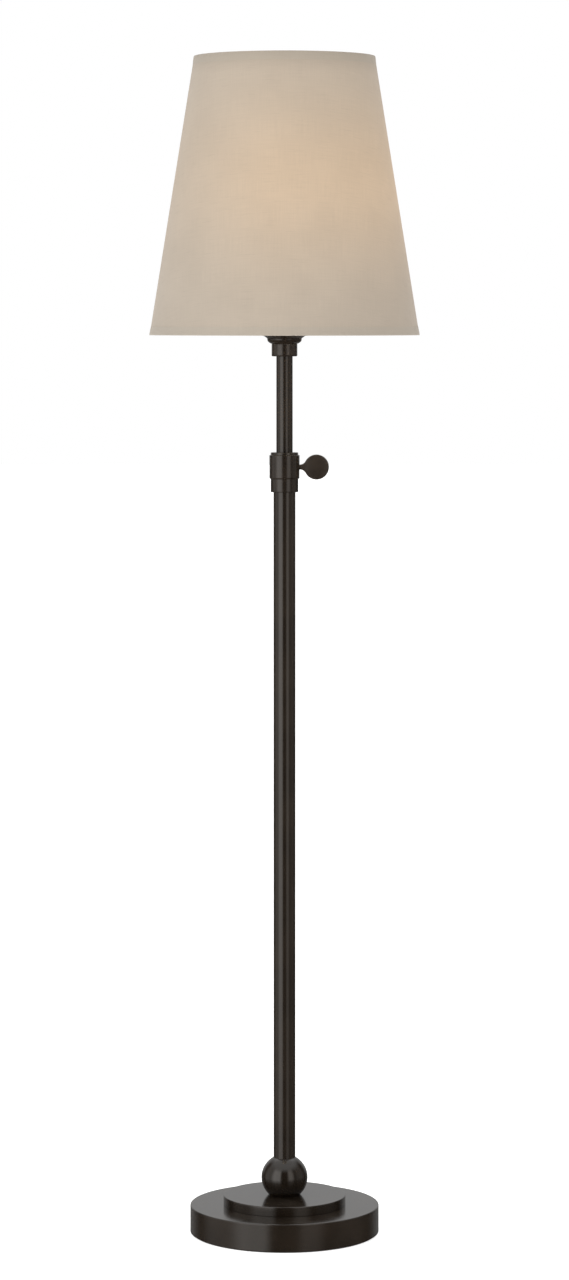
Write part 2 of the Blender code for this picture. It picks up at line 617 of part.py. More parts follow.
def thumbscrew(group, finishes):
    """A shank with a blind hole for the pad's stem, and a flat round disc to grip."""
    tip = UPPER_TUBE_RADIUS + TURN_GAP + PAD_HEAD + GAP
    hole = PAD_STEM_RADIUS + GAP
    hole_end = tip + PAD_STEM + GAP
    disc_start = COLLAR_RADIUS + SCREW_NECK
    centre = disc_start + DISC_RADIUS
    half = DISC_THICKNESS / 2
    outline = [(0, hole_end), (hole, hole_end), (hole, tip), (SCREW_RADIUS, tip)]
    outline += [(SCREW_RADIUS, disc_start + DISC_EDGE), (half - DISC_EDGE, centre), (0, centre)]
    piece = place("thumbscrew", turned_mesh("thumbscrew", outline, SMALL_FACETS), finishes["bronze"], group)
    rim = arc((DISC_RADIUS - DISC_EDGE, half - DISC_EDGE), DISC_EDGE, 90, 0)
    disc = [(0, half), *rim, *[(radius, -height) for radius, height in reversed(rim)], (0, -half)]
    join(piece, turned_mesh("grip_disc", disc), Matrix.Translation((0, 0, centre)) @ ALONG_Y)


# Carriage


def glide_bush(group, finishes):
    """The plastic glide that the upper tube's lower end turns in. Its origin is its lower face."""
    outline = ring_outline(UPPER_TUBE_RADIUS + TURN_GAP, GLIDE_RADIUS, 0, GLIDE_HEIGHT)
    place("glide_bush", turned_mesh("glide_bush", outline), finishes["nylon"], group)


# Upper tube and what is fixed to it, all above or below the neck's lower face


def upper_tube(group, finishes):
    outline = ring_outline(UPPER_TUBE_BORE, UPPER_TUBE_RADIUS, 0, UPPER_TUBE_LENGTH)
    mesh = turned_mesh("upper_tube", outline)
    place("upper_tube", mesh, finishes["bronze"], group, (0, 0, UPPER_TUBE_BOTTOM))


def stop_ring(group, finishes):
    """Soldered round the tube above the glide. It stops the tube at the guide bush at full height."""
    outline = ring_outline(NECK_FIT, GLIDE_RADIUS - TURN_GAP, 0, STOP_RING_HEIGHT)
    bottom = UPPER_TUBE_BOTTOM + GLIDE_HEIGHT + GAP
    place("stop_ring", turned_mesh("stop_ring", outline), finishes["brass"], group, (0, 0, bottom))


def end_cap(group, finishes):
    spigot = UPPER_TUBE_BORE - GAP
    flange = GLIDE_RADIUS - TURN_GAP
    top = END_CAP_HEIGHT + END_CAP_SPIGOT
    outline = [(ROD_BORE, 0), (flange, 0), (flange, END_CAP_HEIGHT), (spigot, END_CAP_HEIGHT)]
    outline += [(spigot, top), (ROD_BORE, top)]
    bottom = UPPER_TUBE_BOTTOM - GAP - END_CAP_HEIGHT
    place("end_cap", turned_mesh("end_cap", outline), finishes["brass"], group, (0, 0, bottom))


def tube_top_plug(group, finishes):
    outline = ring_outline(ROD_HOLE, UPPER_TUBE_BORE - GAP, 0, PLUG_HEIGHT)
    mesh = turned_mesh("tube_top_plug", outline)
    place("tube_top_plug", mesh, finishes["steel"], group, (0, 0, NECK_ROD_BOTTOM))


def neck_coupler(group, finishes):
    edge = arc((NECK_RADIUS - NECK_EDGE, NECK_EDGE), NECK_EDGE, -90, 0)
    seat = NECK_GRIP + GAP
    outline = [(NECK_FIT, 0), *edge, (NECK_RADIUS, NECK_HEIGHT), (ROD_HOLE, NECK_HEIGHT)]
    outline += [(ROD_HOLE, seat), (NECK_FIT, seat)]
    place("neck_coupler", turned_mesh("neck_coupler", outline), finishes["bronze"], group)


def socket_cup(group, finishes):
    """A small bowl whose rim slopes out into a flat lip."""
    outer, inner = bowl(CUP_FLOOR_RADIUS, CUP_BELLY_RADIUS, CUP_BELLY_HEIGHT, CUP_WALL)
    lip = CUP_BELLY_HEIGHT + CUP_FLARE
    slope_end = CUP_BELLY_RADIUS + CUP_FLARE_OUT
    outline = [(ROD_HOLE, 0), *outer, (slope_end, lip), (CUP_LIP_RADIUS, lip), (CUP_LIP_RADIUS, lip + CUP_WALL)]
    outline += [(slope_end - CUP_WALL / 2, lip + CUP_WALL), *reversed(inner), (ROD_HOLE, CUP_WALL)]
    place("socket_cup", turned_mesh("socket_cup", outline), finishes["bronze"], group, (0, 0, CUP_BOTTOM))


def cup_spacer(group, finishes):
    outline = ring_outline(ROD_HOLE, SPACER_RADIUS, 0, SADDLE_BOTTOM - GAP - SPACER_BOTTOM)
    place("cup_spacer", turned_mesh("cup_spacer", outline), finishes["brass"], group, (0, 0, SPACER_BOTTOM))


def harp_saddle(group, finishes):
    """A drilled strap with an ear standing up near each end."""
    half = SADDLE_WIDTH / 2
    strap = block_mesh("harp_saddle", (-SADDLE_HALF_SPAN, -half, 0), (SADDLE_HALF_SPAN, half, SADDLE_THICKNESS))
    piece = place("harp_saddle", strap, finishes["brass"], group, (0, 0, SADDLE_BOTTOM))
    for side in (-1, 1):
        low = (EAR_AXIS - SADDLE_THICKNESS / 2, -EAR_WIDTH / 2, SADDLE_THICKNESS / 2)
        high = (EAR_AXIS + SADDLE_THICKNESS / 2, EAR_WIDTH / 2, EAR_HEIGHT)
        join(piece, block_mesh("ear", low, high), Matrix.Rotation(math.radians(90 - 90 * side), 4, "Z"))
    hole = rod_outline(ROD_HOLE, -SADDLE_THICKNESS, 2 * SADDLE_THICKNESS)
    cut(piece, turned_mesh("saddle_hole", hole, SMALL_FACETS))


def harp_sleeve(name, group, finishes, side):
    outline = ring_outline(SLEEVE_BORE, SLEEVE_BORE + SLEEVE_WALL, 0, SLEEVE_HEIGHT)
    place_at = (side * EAR_AXIS, 0, SADDLE_BOTTOM + SLEEVE_LIFT)
    place(name, turned_mesh(name, outline, SMALL_FACETS), finishes["brass"], group, place_at)


def harp(group, finishes):
    """The wire that carries the shade over the bulb, symmetrical about the axis."""
    foot = SADDLE_BOTTOM + EAR_HEIGHT + GAP
    top = HARP_SEAT_TOP - HARP_SEAT_HEIGHT - GAP - HARP_WIRE
    wide = BULB_RADIUS + HARP_BULB_CLEARANCE
    rise = top - foot
    side = [(EAR_AXIS, 0), (EAR_AXIS, HARP_STRAIGHT), *[(share * wide, up) for share, up in HARP_SIDE]]
    side.append((HARP_SEAT_RADIUS, 1))
    half = smooth_route([Vector((x, 0, foot + share * rise)) for x, share in side], 3)
    other = [Vector((-point.x, 0, point.z)) for point in reversed(half)]
    place("harp", wire_mesh("harp", half + other, HARP_WIRE), finishes["brass"], group)


def harp_seat(group, finishes):
    """The seat on top of the harp, with the stud that the shade and the finial go on."""
    stud_top = HARP_SEAT_HEIGHT + STUD_HEIGHT
    outline = [(0, 0), (HARP_SEAT_RADIUS, 0), (HARP_SEAT_RADIUS, HARP_SEAT_HEIGHT)]
    outline += [(STUD_RADIUS, HARP_SEAT_HEIGHT), (STUD_RADIUS, stud_top), (0, stud_top)]
    bottom = HARP_SEAT_TOP - HARP_SEAT_HEIGHT
    place("harp_seat", turned_mesh("harp_seat", outline, SMALL_FACETS), finishes["brass"], group, (0, 0, bottom))


def finial(group, finishes):
    bore = STUD_RADIUS + GAP
    depth = STUD_HEIGHT
    knob = arc((0, FINIAL_HEIGHT - FINIAL_RADIUS), FINIAL_RADIUS, FINIAL_KNOB_START, 90, 2 * ARC_STEPS)
    outline = [(bore, 0), (FINIAL_RADIUS, 0), (FINIAL_RADIUS, FINIAL_FOOT), (FINIAL_WAIST_SHARE * FINIAL_RADIUS, FINIAL_FOOT)]
    outline = [(0, depth), (bore, depth), *outline, *knob]
    place("finial", turned_mesh("finial", outline, SMALL_FACETS), finishes["bronze"], group, (0, 0, WASHER_TOP + GAP))


# Socket


def key_hole(length):
    return turned_mesh("key_hole", rod_outline(KEY_STEM_RADIUS + TURN_GAP, 0, length), SMALL_FACETS)


def key_turn(bottom, start):
    """Places a hole for the key's stem in a piece whose origin is that far above the neck's lower face."""
    return Matrix.Translation((0, -start, KEY_AXIS - bottom)) @ AGAINST_Y


def socket_cap(group, finishes):
    outer, inner = bowl(CAP_FLOOR_RADIUS, CAP_BORE + CAP_WALL, CAP_FLARE_HEIGHT, CAP_WALL)
    outline = [(ROD_HOLE, 0), *outer, (CAP_BORE + CAP_WALL, CAP_HEIGHT), (CAP_BORE, CAP_HEIGHT)]
    outline += [*reversed(inner), (ROD_HOLE, CAP_WALL)]
    place("socket_cap", turned_mesh("socket_cap", outline), finishes["brass"], group, (0, 0, SOCKET_BOTTOM))


def socket_shell(group, finishes):
    bottom = SOCKET_BOTTOM + CAP_HEIGHT - SOCKET_GRIP
    height = SOCKET_BOTTOM + SOCKET_HEIGHT - bottom
    outline = ring_outline(SOCKET_RADIUS - SOCKET_WALL, SOCKET_RADIUS, 0, height)
    piece = place("socket_shell", turned_mesh("socket_shell", outline), finishes["brass"], group, (0, 0, bottom))
    cut(piece, key_hole(SOCKET_RADIUS), key_turn(bottom, CORE_RADIUS))


def socket_liner(group, finishes):
    bottom = SOCKET_BOTTOM + CAP_HEIGHT - SOCKET_GRIP
    height = SOCKET_BOTTOM + SOCKET_HEIGHT - LINER_WALL - bottom
    outline = ring_outline(LINER_RADIUS - LINER_WALL, LINER_RADIUS, 0, height)
    piece = place("socket_liner", turned_mesh("socket_liner", outline), finishes["card"], group, (0, 0, bottom))
    cut(piece, key_hole(SOCKET_RADIUS), key_turn(bottom, CORE_WAIST_RADIUS))


def socket_core(group, finishes):
    """The moulded insulator: a waist that carries the terminals, and a wider drum that carries the screw shell."""
    outline = [(0, CORE_BOTTOM), (CORE_WAIST_RADIUS, CORE_BOTTOM), (CORE_WAIST_RADIUS, CORE_WAIST_TOP)]
    outline += [(CORE_RADIUS, CORE_WAIST_TOP), (CORE_RADIUS, CORE_TOP), (0, CORE_TOP)]
    mesh = turned_mesh("socket_core", outline)
    piece = place("socket_core", mesh, finishes["phenolic"], group, (0, 0, SOCKET_BOTTOM))
    start = CORE_RADIUS - KEY_STEM_IN - GAP
    cut(piece, key_hole(2 * CORE_RADIUS), key_turn(SOCKET_BOTTOM, start))


def screw_shell(group, finishes):
    inside = SCREW_SHELL_BORE
    outside = inside + SCREW_SHELL_WALL
    outline = [(SCREW_SHELL_HOLE, 0), (outside, 0), (outside, SCREW_SHELL_HEIGHT), (inside, SCREW_SHELL_HEIGHT)]
    outline += [(inside, SCREW_SHELL_WALL), (SCREW_SHELL_HOLE, SCREW_SHELL_WALL)]
    mesh = turned_mesh("screw_shell", outline)
    place("screw_shell", mesh, finishes["brass"], group, (0, 0, SCREW_SHELL_BOTTOM))


def centre_contact(group, finishes):
    mesh = turned_mesh("centre_contact", rod_outline(CONTACT_RADIUS, 0, CONTACT_THICKNESS), SMALL_FACETS)
    place("centre_contact", mesh, finishes["brass"], group, (0, 0, SCREW_SHELL_BOTTOM))


def terminal(name, group, finishes, side):
    outline = rod_outline(TERMINAL_RADIUS, 0, TERMINAL_THICKNESS)
    mesh = turned_mesh(name, outline, SMALL_FACETS)
    place_at = (side * (CORE_WAIST_RADIUS + GAP), 0, SOCKET_BOTTOM + TERMINAL_HEIGHT)
    piece = place(name, mesh, finishes["brass"], group, place_at)
    piece.rotation_euler = (0, side * math.pi / 2, 0)


def tail(name, group, finishes, side):
    """A conductor from the lead's end to the underside of a terminal."""
    x = CORE_WAIST_RADIUS + GAP + TAIL_RADIUS
    low = MOVING_LEAD_TOP + GAP
    end = SOCKET_BOTTOM + TERMINAL_HEIGHT - TERMINAL_RADIUS - GAP
    root = TAIL_RADIUS + GAP
    points = [(root, low), (root, low + TAIL_RADIUS), (0.4 * x, low + 2 * TAIL_RADIUS)]
    points += [(0.85 * x, low + 2.9 * TAIL_RADIUS), (x, end - TAIL_RADIUS), (x, end)]
    route = smooth_route([Vector((side * across, 0, height)) for across, height in points], 3)
    place(name, wire_mesh(name, route, TAIL_RADIUS), finishes["lead"], group)


def moving_lead(group, finishes):
    outline = rod_outline(LEAD_RADIUS, 0, MOVING_LEAD_TOP - MOVING_LEAD_BOTTOM)
    mesh = turned_mesh("moving_lead", outline, SMALL_FACETS)
    place("moving_lead", mesh, finishes["lead"], group, (0, 0, MOVING_LEAD_BOTTOM))


def switch_key(group, finishes):
    """A stem along the key's own axis, with a flat paddle to turn it by."""
    start = CORE_RADIUS - KEY_STEM_IN
    root = SOCKET_RADIUS + KEY_STANDOFF
    stem = rod_outline(KEY_STEM_RADIUS, start, root + KEY_PADDLE_LENGTH / 2)
    piece = place("switch_key", turned_mesh("switch_key", stem, SMALL_FACETS), finishes["phenolic"], group)
    wide = KEY_PADDLE_HALF_WIDTH
    end = root + KEY_PADDLE_LENGTH - wide
    outline = [(-KEY_STEM_RADIUS - GAP, root), (KEY_STEM_RADIUS + GAP, root)]
    outline += arc((0, end), wide, 0, 180, 2 * ARC_STEPS)
    join(piece, plate_mesh("key_paddle", outline, KEY_PADDLE_THICKNESS))


# Bulb


def bulb_tip(group, finishes):
    top = BULB_TIP_HEIGHT
    outline = [(0, 0), (BULB_TIP_RADIUS / 2, 0), (BULB_TIP_RADIUS, top / 2), (BULB_TIP_RADIUS, top), (0, top)]
    place("bulb_tip", turned_mesh("bulb_tip", outline, SMALL_FACETS), finishes["brass"], group, (0, 0, BULB_TIP))


def bulb_insulator(group, finishes):
    outline = [(0, 0), (BULB_TIP_RADIUS + GAP, 0), (BULB_CAP_BORE, BULB_INSULATOR_HEIGHT), (0, BULB_INSULATOR_HEIGHT)]
    mesh = turned_mesh("bulb_insulator", outline, SMALL_FACETS)
    place("bulb_insulator", mesh, finishes["phenolic"], group, (0, 0, BULB_INSULATOR_BOTTOM))


def bulb_cap(group, finishes):
    """The rolled thread as a row of rings, each as high as the thread's pitch."""
    outline = [(BULB_CAP_BORE, 0)]
    for turn in range(THREAD_TURNS):
        start = turn * THREAD_PITCH
        outline += [(THREAD_ROOT, start), (THREAD_RADIUS, start + THREAD_PITCH / 2)]
    outline += [(THREAD_ROOT, BULB_CAP_HEIGHT), (BULB_CAP_BORE, BULB_CAP_HEIGHT)]
    place("bulb_cap", turned_mesh("bulb_cap", outline), finishes["brass"], group, (0, 0, BULB_CAP_BOTTOM))


def bulb_glass(group, finishes):
    """A globe that runs down into its neck through a concave arc, open at the neck. Its origin is its lower edge."""
    bottom = BULB_CAP_BOTTOM + BULB_CAP_HEIGHT + GAP
    centre = BULB_TIP + BULB_LENGTH - BULB_RADIUS - bottom
    neck = BULB_NECK_RADIUS
    waist = (centre**2 + neck**2 - BULB_RADIUS**2) / (2 * (BULB_RADIUS - neck))
    lean = math.degrees(math.atan2(centre, neck + waist))
    outline = [*arc((neck + waist, 0), waist, 180, 180 - lean), *arc((0, centre), BULB_RADIUS, -lean, 90, 8)[1:]]
    inside = arc((0, centre), BULB_RADIUS - BULB_WALL, 90, -lean, 8)
    outline += [*inside[:-1], *arc((neck + waist, 0), waist + BULB_WALL, 180 - lean, 180)]
    place("bulb_glass", turned_mesh("bulb_glass", outline, BULB_FACETS), finishes["glass"], group, (0, 0, bottom))


# Shade


def shade_radius(height):
    """The outside radius at a height above the shade's lower rim."""
    return SHADE_BOTTOM_RADIUS + (SHADE_TOP_RADIUS - SHADE_BOTTOM_RADIUS) * height / SHADE_HEIGHT


def cone(name, group, material, inset, thickness, low, high):
    """A thin band of the shade, this far inside its outer surface, between two heights above its lower rim."""
    bottom = shade_radius(low) - inset
    top = shade_radius(high) - inset
    outline = [(bottom - thickness, low), (bottom, low), (top, high), (top - thickness, high)]
    place(name, turned_mesh(name, outline, LARGE_FACETS), material, group, (0, 0, SHADE_BOTTOM))


def wire_ring_outline(radius, height):
    return arc((radius, height), FRAME_WIRE, 0, 300, 5)


def shade_ring(group, finishes):
    height = FRAME_WIRE + GAP
    radius = shade_radius(height) - FRAME_INSET
    mesh = turned_mesh("shade_ring", wire_ring_outline(radius, height), LARGE_FACETS)
    place("shade_ring", mesh, finishes["steel"], group, (0, 0, SHADE_BOTTOM))


def shade_spider(group, finishes):
    """The upper wire ring, the washer that sits on the harp, and the arms that join them."""
    height = SHADE_TOP - FRAME_WIRE - GAP
    radius = shade_radius(SHADE_HEIGHT) - FRAME_INSET
    mesh = turned_mesh("shade_spider", wire_ring_outline(radius, height), LARGE_FACETS)
    piece = place("shade_spider", mesh, finishes["steel"], group)
    bottom = WASHER_TOP - SPIDER_WASHER_THICKNESS
    washer = ring_outline(STUD_RADIUS + GAP, SPIDER_WASHER_RADIUS, bottom, WASHER_TOP)
    join(piece, turned_mesh("spider_washer", washer, SMALL_FACETS))
    middle = (bottom + WASHER_TOP) / 2
    root = (STUD_RADIUS + HARP_SEAT_RADIUS + SPIDER_WASHER_RADIUS) / 2
    route = [(root, middle), (SPIDER_ARM_LEVEL * SPIDER_WASHER_RADIUS, middle)]
    route += [(radius / 2, middle + SPIDER_ARM_MIDDLE * (height - middle)), (radius, height)]
    for arm in range(SPIDER_ARMS):
        points = smooth_route([Vector((x, 0, z)) for x, z in route], 3)
        wire = wire_mesh("spider_arm", points, SPIDER_ARM_SHARE * FRAME_WIRE, 1)
        turn = math.radians(90) + 2 * math.pi * arm / SPIDER_ARMS
        join(piece, wire, Matrix.Rotation(turn, 4, "Z"))


def shade(group, finishes):
    cone("shade_liner", group, finishes["styrene"], LINER_INSET, LINER_THICKNESS, 0, SHADE_HEIGHT)
    cone("shade_fabric", group, finishes["linen"], FABRIC_INSET, FABRIC_THICKNESS, 0, SHADE_HEIGHT)
    cone("shade_trim_bottom", group, finishes["linen"], 0, TRIM_THICKNESS, 0, TRIM_WIDTH)
    top = SHADE_HEIGHT - TRIM_WIDTH
    cone("shade_trim_top", group, finishes["linen"], 0, TRIM_THICKNESS, top, SHADE_HEIGHT)
    shade_ring(group, finishes)
    shade_spider(group, finishes)


# Groups


def make_base(finishes):
    group = group_at("lamp", (0, 0, 0))
    for make in (base_shell, base_step, base_weight, base_felt, cord_bushing, base_washer, base_ball):
        make(group, finishes)
    hex_nut("base_nut", group, finishes, NUT_BOTTOM)
    hollow_rod("base_rod", group, finishes, BASE_ROD_BOTTOM, PLUG_BOTTOM + PLUG_HEIGHT)
    for make in (lower_tube, tube_foot_plug, column_ferrule, clamp_collar, guide_bush, fixed_lead):
        make(group, finishes)


def make_screw(finishes):
    clamp_pad(group_at("clamp_pad_group", (0, 0, SCREW_AXIS), (0, math.pi / 2, 0)), finishes)
    thumbscrew(group_at("thumbscrew_group", (0, 0, SCREW_AXIS), (0, math.pi / 2, 0)), finishes)


def make_upper(finishes):
    glide_bush(group_at("carriage", (0, 0, NECK_BOTTOM + UPPER_TUBE_BOTTOM)), finishes)
    group = group_at("upper_column", (0, 0, NECK_BOTTOM))
    for make in (upper_tube, stop_ring, end_cap, tube_top_plug, neck_coupler, socket_cup, cup_spacer):
        make(group, finishes)
    hollow_rod("neck_rod", group, finishes, NECK_ROD_BOTTOM, NECK_ROD_TOP)
    hex_nut("socket_nut", group, finishes, SOCKET_BOTTOM + CAP_WALL + GAP)
    for make in (harp_saddle, harp, harp_seat, finial, socket_cap, socket_shell, socket_liner, socket_core):
        make(group, finishes)
    for name, side in (("left", -1), ("right", 1)):
        harp_sleeve(f"harp_sleeve_{name}", group, finishes, side)
        terminal(f"terminal_{name}", group, finishes, side)
        tail(f"tail_{name}", group, finishes, side)
    for make in (screw_shell, centre_contact, moving_lead, bulb_tip, bulb_insulator, bulb_cap, bulb_glass, shade):
        make(group, finishes)
    key_group = group_at("switch_key_group", (0, 0, KEY_AXIS), (math.pi / 2, 0, 0))
    key_group.parent = group
    switch_key(key_group, finishes)


def main():
    clear_scene()
    finishes = make_finishes()
    make_base(finishes)
    make_screw(finishes)
    make_upper(finishes)


main()
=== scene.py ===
"""A telescoping floor lamp in dark bronze with a linen shade, dressed round its CAD frame.

Run as a script inside Blender 4.5. Every piece goes where the frame's nodes are, in metres. The lamp
stands on Z = 0 with its column on the Z axis, the thumbscrew on the +X side and the mains inlet at
the rear, on the +Y side.
"""

import math

import bmesh
import bpy
from mathutils import Matrix, Vector


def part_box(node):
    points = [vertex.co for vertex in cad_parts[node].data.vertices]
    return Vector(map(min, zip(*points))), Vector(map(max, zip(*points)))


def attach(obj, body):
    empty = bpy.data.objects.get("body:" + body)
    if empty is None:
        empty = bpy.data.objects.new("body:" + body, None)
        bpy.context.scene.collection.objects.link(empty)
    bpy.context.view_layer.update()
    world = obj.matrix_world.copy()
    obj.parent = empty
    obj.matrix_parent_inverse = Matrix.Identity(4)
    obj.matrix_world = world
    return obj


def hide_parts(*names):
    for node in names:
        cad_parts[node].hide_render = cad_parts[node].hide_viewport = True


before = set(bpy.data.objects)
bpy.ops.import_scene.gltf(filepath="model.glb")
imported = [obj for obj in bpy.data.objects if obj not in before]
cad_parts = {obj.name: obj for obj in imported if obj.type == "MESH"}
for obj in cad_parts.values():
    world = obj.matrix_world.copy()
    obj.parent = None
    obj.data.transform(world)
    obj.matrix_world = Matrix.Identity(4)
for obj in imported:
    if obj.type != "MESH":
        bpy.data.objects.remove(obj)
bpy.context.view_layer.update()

bl_info = {
    "name": "Telescoping floor lamp",
    "version": (1, 0, 0),
    "blender": (4, 5, 0),
    "location": "3D View > Sidebar > Lamp",
    "description": "Builds the lamp's pieces, finishes and studio round the packed frame",
    "category": "Object",
}

MM = 0.001
FULL_TURN = 2 * math.pi
COARSE = 32  # steps round a small turned piece
ROUND = 64  # steps round a middling one
FINE = 128  # steps round the base and the shade
ROUNDING_STEPS = 4  # steps round a turned corner
PLATE_STEPS = 3  # steps round the edge of a flat plate
HOLD = 0.5 * MM  # how far past a rounded corner its wear reaches
MERGE = 0.002 * MM
SHARP_ANGLE = math.radians(38)
UPRIGHT = Matrix.Identity(4)
SEAT_GAP = 0.02 * MM  # left between two surfaces that rest on each other
SLIDE_GAP = 0.3 * MM  # left round the sliding tube
ROD_BORE = 5.3 * MM  # radius of the holes that clear the threaded rod
STUD = 3.1 * MM  # radius of the stud that holds the shade
STUD_HOLE = 3.4 * MM  # radius of the holes that the stud goes through
BLACK = (0.0, 0.0, 0.0, 1.0)
WHITE = (1.0, 1.0, 1.0, 1.0)
DUST = (0.30, 0.28, 0.25, 1.0)

SHADE_BOTTOM, SHADE_TOP = (corner.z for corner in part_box("shade_fabric"))
SHADE_LOW_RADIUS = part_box("shade_trim_bottom")[1].x
TRIM_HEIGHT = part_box("shade_trim_bottom")[1].z - SHADE_BOTTOM
TRIM_TOP_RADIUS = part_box("shade_trim_top")[1].x
SHADE_SLOPE = (SHADE_LOW_RADIUS - TRIM_TOP_RADIUS) / (SHADE_TOP - TRIM_HEIGHT - SHADE_BOTTOM)
CONE_HALF_ANGLE = math.atan(SHADE_SLOPE)


# Shaping tools


def finish_mesh(name, shape, place=UPRIGHT):
    """Closes the seams of a shape, turns its faces outwards and sets it in place."""
    bmesh.ops.remove_doubles(shape, verts=shape.verts, dist=MERGE)
    bmesh.ops.recalc_face_normals(shape, faces=shape.faces)
    bmesh.ops.transform(shape, matrix=place, verts=shape.verts)
    mesh = bpy.data.meshes.new(name)
    shape.to_mesh(mesh)
    shape.free()
    mesh.shade_smooth()
    mesh.set_sharp_from_angle(angle=SHARP_ANGLE)
    return mesh


def put(name, mesh, body, slot, material, *nodes):
    """Puts a finished mesh in the scene as a piece that rides on a body and stands for these nodes."""
    piece = bpy.data.objects.new(name, mesh)
    bpy.context.scene.collection.objects.link(piece)
    mesh.materials.append(material)
    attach(piece, body)
    if nodes:
        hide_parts(*nodes)
    return piece


def new_shape():
    """An empty shape that can hold where the finish is rubbed."""
    shape = bmesh.new()
    shape.verts.layers.float.new("rub")
    return shape


def rounded(shape, geom, offset, segments, affect):
    """Rounds corners or edges, and gives the points that this makes."""
    made = bmesh.ops.bevel(
        shape,
        geom=geom,
        offset=offset,
        offset_type="OFFSET",
        segments=segments,
        profile=0.5,
        affect=affect,
        material=-1,
    )
    return made["verts"]


def round_corner(shape, corner, rounding, wear):
    """Rounds one corner of a wire outline. A rounding below zero is a hollow corner, which nothing rubs."""
    for vert in rounded(shape, [corner], abs(rounding), ROUNDING_STEPS, "VERTICES"):
        vert[wear] = 1.0 if rounding > 0 else 0.0


def hold_ends(shape, wear):
    """Splits each long edge of a wire outline near its ends, so that the wear stays at the corners."""
    for edge in [edge for edge in shape.edges if edge.calc_length() > 4 * HOLD]:
        first, last = edge.verts
        share = HOLD / edge.calc_length()
        near_first = bmesh.utils.edge_split(edge, first, share)[1]
        rest = next(link for link in last.link_edges if link.other_vert(last) is near_first)
        near_last = bmesh.utils.edge_split(rest, last, share / (1 - share))[1]
        near_first[wear] = 0.0
        near_last[wear] = 0.0


def rod_corners(radius, low, high, low_edge=0, high_edge=0):
    """The outline of a plain rod on the axis, with the roundings of its two edges."""
    return [(0, low, 0), (radius, low, low_edge), (radius, high, high_edge), (0, high, 0)]


def ring_corners(inner, outer, low, high, edges):
    """The outline of a plain ring, with its roundings from the inner lower corner outwards and round."""
    return list(zip((inner, outer, outer, inner), (low, low, high, high), edges))


def turned_shape(corners, steps=ROUND):
    """A shape turned about Z from corners, each a radius, a height and its rounding.

    An outline that starts on the axis stays open there, and any other is closed."""
    shape = new_shape()
    wear = shape.verts.layers.float["rub"]
    outline = [shape.verts.new((radius, 0, height)) for radius, height, _ in corners]
    pairs = list(zip(outline, outline[1:]))
    if corners[0][0] > 0:
        pairs.append((outline[-1], outline[0]))
    for pair in pairs:
        shape.edges.new(pair)
    for corner, (_, _, rounding) in zip(outline, corners):
        if rounding:
            round_corner(shape, corner, rounding, wear)
    hold_ends(shape, wear)
    turn_outline(shape, steps)
    return shape


def turn_outline(shape, steps):
    bmesh.ops.spin(
        shape,
        geom=[*shape.verts, *shape.edges],
        cent=(0, 0, 0),
        axis=(0, 0, 1),
        dvec=(0, 0, 0),
        angle=FULL_TURN,
        steps=steps,
        use_merge=True,
    )


def turned(name, corners, steps=ROUND, place=UPRIGHT):
    return finish_mesh(name, turned_shape(corners, steps), place)


def swing(shape, vert, centre, degrees, steps):
    """Draws an arc in the XZ plane from a point, about a centre, and gives its last point."""
    made = bmesh.ops.spin(
        shape,
        geom=[vert],
        cent=(centre[0], 0, centre[1]),
        axis=(0, -1, 0),
        dvec=(0, 0, 0),
        angle=math.radians(degrees),
        steps=steps,
    )
    return made["geom_last"][0]


def plate_shape(shape, thickness, rounding):
    """Fills a closed wire outline in the XZ plane, thickens it to both sides and rounds its edges."""
    wear = shape.verts.layers.float["rub"]
    face = bmesh.ops.contextual_create(shape, geom=[*shape.edges])["faces"]
    bmesh.ops.translate(shape, verts=shape.verts, vec=(0, -thickness / 2, 0))
    raised = bmesh.ops.extrude_face_region(shape, geom=face)
    moved = [item for item in raised["geom"] if isinstance(item, bmesh.types.BMVert)]
    bmesh.ops.translate(shape, verts=moved, vec=(0, thickness, 0))
    rims = [edge for edge in shape.edges if abs(edge.verts[0].co.y - edge.verts[1].co.y) < MERGE]
    for vert in rounded(shape, rims, rounding, PLATE_STEPS, "EDGES"):
        vert[wear] = 1.0


def block_shape(low, high, rounding):
    """A rectangular bar with rounded edges."""
    shape = new_shape()
    wear = shape.verts.layers.float["rub"]
    bmesh.ops.create_cube(shape, size=1)
    bmesh.ops.scale(shape, vec=Vector(high) - Vector(low), verts=shape.verts)
    bmesh.ops.translate(shape, vec=(Vector(high) + Vector(low)) / 2, verts=shape.verts)
    for vert in rounded(shape, [*shape.edges], rounding, 2, "EDGES"):
        vert[wear] = 1.0
    return shape


def together(name, shapes, place=UPRIGHT):
    """One mesh of several closed shapes that are fixed to each other."""
    whole = new_shape()
    for shape in shapes:
        part = bpy.data.meshes.new(name)
        shape.to_mesh(part)
        shape.free()
        whole.from_mesh(part)
        bpy.data.meshes.remove(part)
    return finish_mesh(name, whole, place)


def wire_shape(route, radius, turn=UPRIGHT):
    """A round wire along a route, with filled ends."""
    curve = bpy.data.curves.new("wire", "CURVE")
    curve.dimensions = "3D"
    curve.bevel_depth = radius
    curve.bevel_resolution = 4
    curve.use_fill_caps = True
    spline = curve.splines.new("POLY")
    spline.points.add(len(route) - 1)
    for point, position in zip(spline.points, route):
        point.co = (*position, 1)
    guide = bpy.data.objects.new("wire", curve)
    shape = bmesh.new()
    shape.from_mesh(guide.to_mesh())
    guide.to_mesh_clear()
    bpy.data.objects.remove(guide)
    bmesh.ops.transform(shape, matrix=turn, verts=shape.verts)
    return shape


def hoop_shape(radius, height, wire):
    """A round wire bent into a hoop about Z."""
    shape = bmesh.new()
    bmesh.ops.create_circle(shape, segments=12, radius=wire)
    stand = Matrix.Translation((radius, 0, height)) @ Matrix.Rotation(math.pi / 2, 4, "X")
    bmesh.ops.transform(shape, matrix=stand, verts=shape.verts)
    turn_outline(shape, FINE)
    return shape


